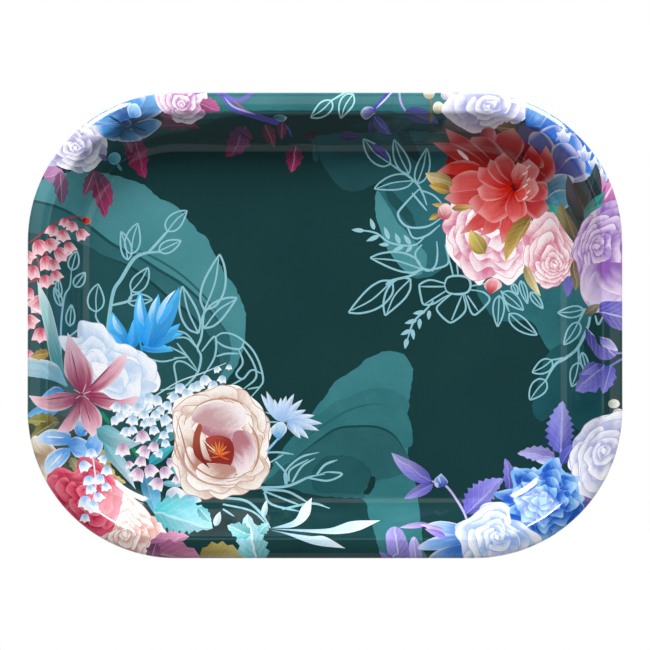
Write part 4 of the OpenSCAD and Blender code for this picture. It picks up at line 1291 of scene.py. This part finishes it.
def petal_ink():
    """Petal colour brushed from the base out: streaks run with the petal, and its edge dries light"""
    m = new_material("brushed_petal_ink")
    base, tip, along, across = ink_colours(m)
    seed = add(m, "ShaderNodeMath", TIMES, in_0=base["Alpha"], in_1=40.0).outputs[0]
    u = add(m, "ShaderNodeMath", TIMES_PLUS, in_0=along, in_1=1.3, in_2=seed)
    v = add(m, "ShaderNodeMath", TIMES_PLUS, in_0=across, in_1=2.6, in_2=seed)
    place = add(m, "ShaderNodeCombineXYZ", X=u.outputs[0], Y=v.outputs[0], Z=seed)
    streaks = add(m, "ShaderNodeTexNoise", Vector=place.outputs[0], Scale=1.6, Detail=3.0, Roughness=0.55)
    sway = add(m, "ShaderNodeMath", TIMES_PLUS, in_0=streaks.outputs["Fac"], in_1=0.7, in_2=-0.35)
    turn = add(m, "ShaderNodeMath", PLUS, in_0=along, in_1=sway.outputs[0])
    soft = add(m, "ShaderNodeMapRange", SMOOTH, Value=turn.outputs[0], From_Min=0.05, From_Max=0.85)
    body = add(m, "ShaderNodeMix", COLOURS, in_0=soft.outputs[0], in_6=base["Color"], in_7=tip["Color"])
    side = add(m, "ShaderNodeMath", POSITIVE, in_0=across)
    outer = add(m, "ShaderNodeMath", GREATER, in_0=side.outputs[0], in_1=along)
    rim = add(m, "ShaderNodeMapRange", SMOOTH, Value=outer.outputs[0], From_Min=0.72, From_Max=1.0)
    light = add(m, "ShaderNodeMath", TIMES, in_0=rim.outputs[0], in_1=tip["Alpha"])
    edged = add(m, "ShaderNodeMix", COLOURS, in_0=light.outputs[0], in_6=body.outputs[2],
                in_7=linear("fbf7f8"))
    return varnished(m, edged.outputs[2])


def leaf_ink():
    """Leaf colour with a lighter midrib and side veins, one half of the blade lighter than the other"""
    m = new_material("veined_leaf_ink")
    base, tip, along, across = ink_colours(m)
    seed = add(m, "ShaderNodeMath", TIMES, in_0=base["Alpha"], in_1=40.0).outputs[0]
    place = add(m, "ShaderNodeCombineXYZ", X=along, Y=across, Z=seed)
    cloud = add(m, "ShaderNodeTexNoise", Vector=place.outputs[0], Scale=2.2, Detail=3.0)
    sway = add(m, "ShaderNodeMath", TIMES_PLUS, in_0=cloud.outputs["Fac"], in_1=0.8, in_2=-0.4)
    turn = add(m, "ShaderNodeMath", {"operation": "ADD", "use_clamp": True}, in_0=along,
               in_1=sway.outputs[0])
    body = add(m, "ShaderNodeMix", COLOURS, in_0=turn.outputs[0], in_6=base["Color"], in_7=tip["Color"])
    half = add(m, "ShaderNodeMapRange", Value=across, From_Min=-0.15, From_Max=0.15,
               To_Min=0.84, To_Max=1.12)
    shaded = add(m, "ShaderNodeVectorMath", {"operation": "SCALE"}, in_0=body.outputs[2],
                 Scale=half.outputs[0])
    # Side veins leave the midrib forwards, about seven to a side
    side = add(m, "ShaderNodeMath", POSITIVE, in_0=across).outputs[0]
    forward = add(m, "ShaderNodeMath", TIMES_PLUS, in_0=side, in_1=-0.35, in_2=along)
    spaced = add(m, "ShaderNodeMath", TIMES, in_0=forward.outputs[0], in_1=44.0)
    wave = add(m, "ShaderNodeMath", {"operation": "SINE"}, in_0=spaced.outputs[0])
    vein = add(m, "ShaderNodeMapRange", Value=wave.outputs[0], From_Min=0.75, From_Max=1.0, To_Max=0.3)
    rib = add(m, "ShaderNodeMapRange", Value=side, From_Min=0.03, From_Max=0.1, To_Min=1.0, To_Max=0.0)
    raised = add(m, "ShaderNodeMath", GREATER, in_0=vein.outputs[0], in_1=rib.outputs[0])
    light = add(m, "ShaderNodeMath", TIMES, in_0=raised.outputs[0], in_1=tip["Alpha"])
    veined = add(m, "ShaderNodeMix", COLOURS, in_0=light.outputs[0], in_6=shaded.outputs[0],
                 in_7=linear("efeff6"))
    return varnished(m, veined.outputs[2])


inks = {"ground": ground_ink(), "wash": wash_ink(), "line": line_ink(), "petal": petal_ink(),
        "leaf": leaf_ink()}

points, edges, outlines = [], [], []


def cut_along(loop):
    """Adds a closed loop to the lines that the print is cut along"""
    first = len(points)
    points.extend(loop)
    edges.extend((first + i, first + (i + 1) % len(loop)) for i in range(len(loop)))


for piece, (_, shapes) in enumerate(prints):
    for index, ink in enumerate(shapes):
        cut_along(ink["loop"])
        outlines.append((piece, index, np.array(ink["loop"])))
for reach in bends[:-1]:
    cut_along(round_tray(reach))
# Points nearer to each other than this, in mm, become one
CLOSEST = 0.001
cut = delaunay_2d_cdt(points, edges, [], 0, CLOSEST)
flat, scraps = [tuple(place) for place in cut[0]], cut[2]
middles = np.array([[flat[v] for v in scrap] for scrap in scraps]).mean(axis=1)


def inside(loop):
    """The scraps that lie inside a loop, found by how many times the loop winds round each"""
    near = np.flatnonzero(((middles >= loop.min(axis=0)) & (middles <= loop.max(axis=0))).all(axis=1))
    x, y = middles[near, 0][:, None], middles[near, 1][:, None]
    (ax, ay), (bx, by) = loop.T, np.roll(loop, -1, axis=0).T
    left = (bx - ax) * (y - ay) - (x - ax) * (by - ay)
    up = ((ay <= y) & (by > y) & (left > 0)).sum(axis=1)
    down = ((ay > y) & (by <= y) & (left < 0)).sum(axis=1)
    return near[up != down]


owner = np.full(len(scraps), -1)
for number, (_, _, loop) in enumerate(outlines):
    owner[inside(loop)] = number
on_tray = np.zeros(len(scraps), bool)
on_tray[inside(outlines[0][2])] = True
owned = [{} for _ in prints]
for i in np.flatnonzero(on_tray):
    piece, index, _ = outlines[owner[i]]
    owned[piece].setdefault(index, []).append(scraps[i])


# The map to bake through: the face fills it from FACE_FOOT up, and the back and the sides lie in
# strips below. The back's has a foot and a share of the whole, and the sides' a foot and a top.
FACE_FOOT, FACE_SHARE = 0.06, 0.93
BACK_FOOT, BACK_SHARE = 0.002, 0.03
SIDES_FOOT, SIDES_TOP = 0.035, 0.05


def lay_print(name, shapes, parts):
    """Makes one printed piece from its scraps: the varnished face, the back on the metal, and the sides"""
    scraps = [(index, scrap) for index, group in sorted(parts.items()) for scrap in group]
    used = sorted({v for _, scrap in scraps for v in scrap})
    number = {v: i for i, v in enumerate(used)}
    top = [on_sheet(*flat[v], COAT_T) for v in used]
    back = [on_sheet(*flat[v], 0.0) for v in used]
    count = len(used)
    directed = {(a, b) for _, (a, b, c) in scraps for a, b in ((a, b), (b, c), (c, a))}
    faces, colours, spots, normals = [], [], [], []
    for _, scrap in scraps:
        faces.append([number[v] for v in scrap])
    for _, scrap in scraps:
        faces.append([number[v] + count for v in reversed(scrap)])
    walls = [(index, a, b) for index, (p, q, r) in scraps for a, b in ((p, q), (q, r), (r, p))
             if (b, a) not in directed]
    for _, a, b in walls:
        faces.append([number[a] + count, number[b] + count, number[b], number[a]])
    mesh = bpy.data.meshes.new(name)
    mesh.from_pydata([[c * MM for c in place] for place, _ in top + back], [], faces)
    # What each corner of each face carries, in the order that the faces were listed
    corner = [(index, v) for index, scrap in scraps for v in scrap]
    corner += [(index, v) for index, scrap in scraps for v in reversed(scrap)]
    corner += [(index, v) for index, a, b in walls for v in (a, b, b, a)]
    which = np.array([index for index, _ in corner])
    at = np.array([flat[v] for _, v in corner])
    along = np.zeros((len(corner), 2))
    base, tip = np.zeros((len(corner), 4)), np.zeros((len(corner), 4))
    for index in parts:
        mine = which == index
        along[mine] = shapes[index]["measure"](at[mine])
        # The alphas carry a seed, which varies the streaks from petal to petal, and how light its edge is
        base[mine] = shapes[index]["base"][:3] + [(index * 0.37) % 1.0]
        tip[mine] = shapes[index]["tip"][:3] + [shapes[index]["edge"]]
    for layer, values in (("base_colour", base), ("tip_colour", tip)):
        mesh.attributes.new(layer, "FLOAT_COLOR", "CORNER").data.foreach_set("color", values.ravel())
    mesh.uv_layers.new(name="along_across").data.foreach_set("uv", along.ravel())
    low, size = at.min(axis=0), (at.max(axis=0) - at.min(axis=0)).max()
    square = (at - low) / size * FACE_SHARE
    face_corners = 3 * len(scraps)
    square[:face_corners, 1] += FACE_FOOT
    square[face_corners:, 1] = BACK_FOOT + square[face_corners:, 1] * BACK_SHARE
    sides = square[2 * face_corners:].reshape(-1, 4, 2)
    sides[:, :2, 1] = SIDES_FOOT
    sides[:, 2:, 1] = SIDES_TOP
    mesh.uv_layers.new(name="OFBake").data.foreach_set("uv", square.ravel())
    mesh.uv_layers.active = mesh.uv_layers["along_across"]
    kinds = sorted({shapes[index]["kind"] for index in parts})
    for kind in kinds:
        mesh.materials.append(inks[kind])
    slots = [kinds.index(shapes[index]["kind"]) for index, _ in scraps]
    slots += slots + [kinds.index(shapes[index]["kind"]) for index, _, _ in walls]
    mesh.polygons.foreach_set("material_index", slots)
    mesh.polygons.foreach_set("use_smooth", [True] * len(faces))
    mesh.update()
    facing = [top[number[v]][1] for _, scrap in scraps for v in scrap]
    facing += [[-c for c in top[number[v]][1]] for _, scrap in scraps for v in reversed(scrap)]
    for polygon in mesh.polygons[2 * len(scraps):]:
        facing += [tuple(polygon.normal)] * 4
    mesh.normals_split_custom_set(facing)
    piece = bpy.data.objects.new(name, mesh)
    bpy.context.collection.objects.link(piece)
    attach(piece, "root")
    return piece


for (name, shapes), parts in zip(prints, owned):
    piece = lay_print(name, shapes, parts)
    if name == "ground_enamel":
        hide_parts("print_coat")

# ------------------------------------------------------------------------------------------
# The light table, the lights and the camera. The tray is seen from straight above, on white. Two
# softboxes behind it light it and leave glare in the near corners, which two more cards widen. Dim
# panels all round show as bands along the cove, and nothing hangs overhead, so the floor stays deep.
rim_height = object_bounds()[1].z
TABLE_GAP = 0.0002
bpy.ops.mesh.primitive_plane_add(size=6, location=(0, 0, -TABLE_GAP))
table = bpy.context.object
table.name = "light_table"
glow = new_material("opal_light_table")
finish_surface(glow, Base_Color=linear("000000"), Roughness=1.0, Specular_IOR_Level=0.0,
               Emission_Color=linear("ffffff"), Emission_Strength=1.0)
table.data.materials.append(glow)


def soft_panel(name, bearing, from_top, away, width, height, brightness, lights=True):
    """A soft light square on to the tray: its bearing and its angle from straight above in degrees,
    its distance and size in metres, and how bright it looks, where white paper is 1. One that
    doesn't light the tray is only seen in its gloss."""
    data = bpy.data.lights.new(name, "AREA")
    data.shape = "RECTANGLE"
    data.size, data.size_y = width, height
    data.energy = brightness * math.pi * width * height
    lamp = bpy.data.objects.new(name, data)
    turn, tilt = math.radians(bearing), math.radians(from_top)
    lamp.location = (away * math.cos(turn) * math.sin(tilt), away * math.sin(turn) * math.sin(tilt),
                     away * math.cos(tilt))
    lamp.rotation_euler = lamp.location.to_track_quat("Z", "Y").to_euler()
    lamp.visible_diffuse = lights
    bpy.context.collection.objects.link(lamp)


soft_panel("back_right_softbox", 62.5, 57, 1.6, 0.52, 0.62, 17.0)
soft_panel("back_left_softbox", 120.5, 57, 1.6, 0.44, 0.62, 19.0)
soft_panel("right_glare_card", 63, 69, 1.6, 0.55, 1.05, 24.0, lights=False)
soft_panel("left_glare_card", 120.5, 69, 1.6, 0.46, 1.05, 24.0, lights=False)
soft_panel("left_panel", 180, 39, 1.5, 1.2, 1.1, 0.8)
soft_panel("right_panel", 0, 39, 1.5, 1.2, 1.1, 0.8)
soft_panel("back_panel", 90, 36, 1.5, 0.9, 0.7, 1.0)
soft_panel("front_panel", 270, 65, 1.5, 1.4, 1.3, 0.5)

# The room itself is dark, and gives only a faint even light
world = bpy.data.worlds.new("dark_studio")
bpy.context.scene.world = world
world.use_nodes = True
world.node_tree.nodes["Background"].inputs["Color"].default_value = (1, 1, 1, 1)
world.node_tree.nodes["Background"].inputs["Strength"].default_value = 0.04

# It looks down from 2.5 m, 2 degrees off plumb, and takes in 196.5 mm at the height of the rim
VIEW_TILT = math.radians(2)
DISTANCE = 2.5
SEEN_WIDTH = 0.1965
camera = bpy.data.cameras.new("camera")
camera.sensor_width = 36
camera.lens = camera.sensor_width * DISTANCE / SEEN_WIDTH
camera.clip_end = 20
viewer = bpy.data.objects.new("camera", camera)
viewer.location = (0, -DISTANCE * math.sin(VIEW_TILT), rim_height + DISTANCE * math.cos(VIEW_TILT))
viewer.rotation_euler = (VIEW_TILT, 0, 0)
bpy.context.collection.objects.link(viewer)
bpy.context.scene.camera = viewer
bpy.context.scene.view_settings.view_transform = "Standard"
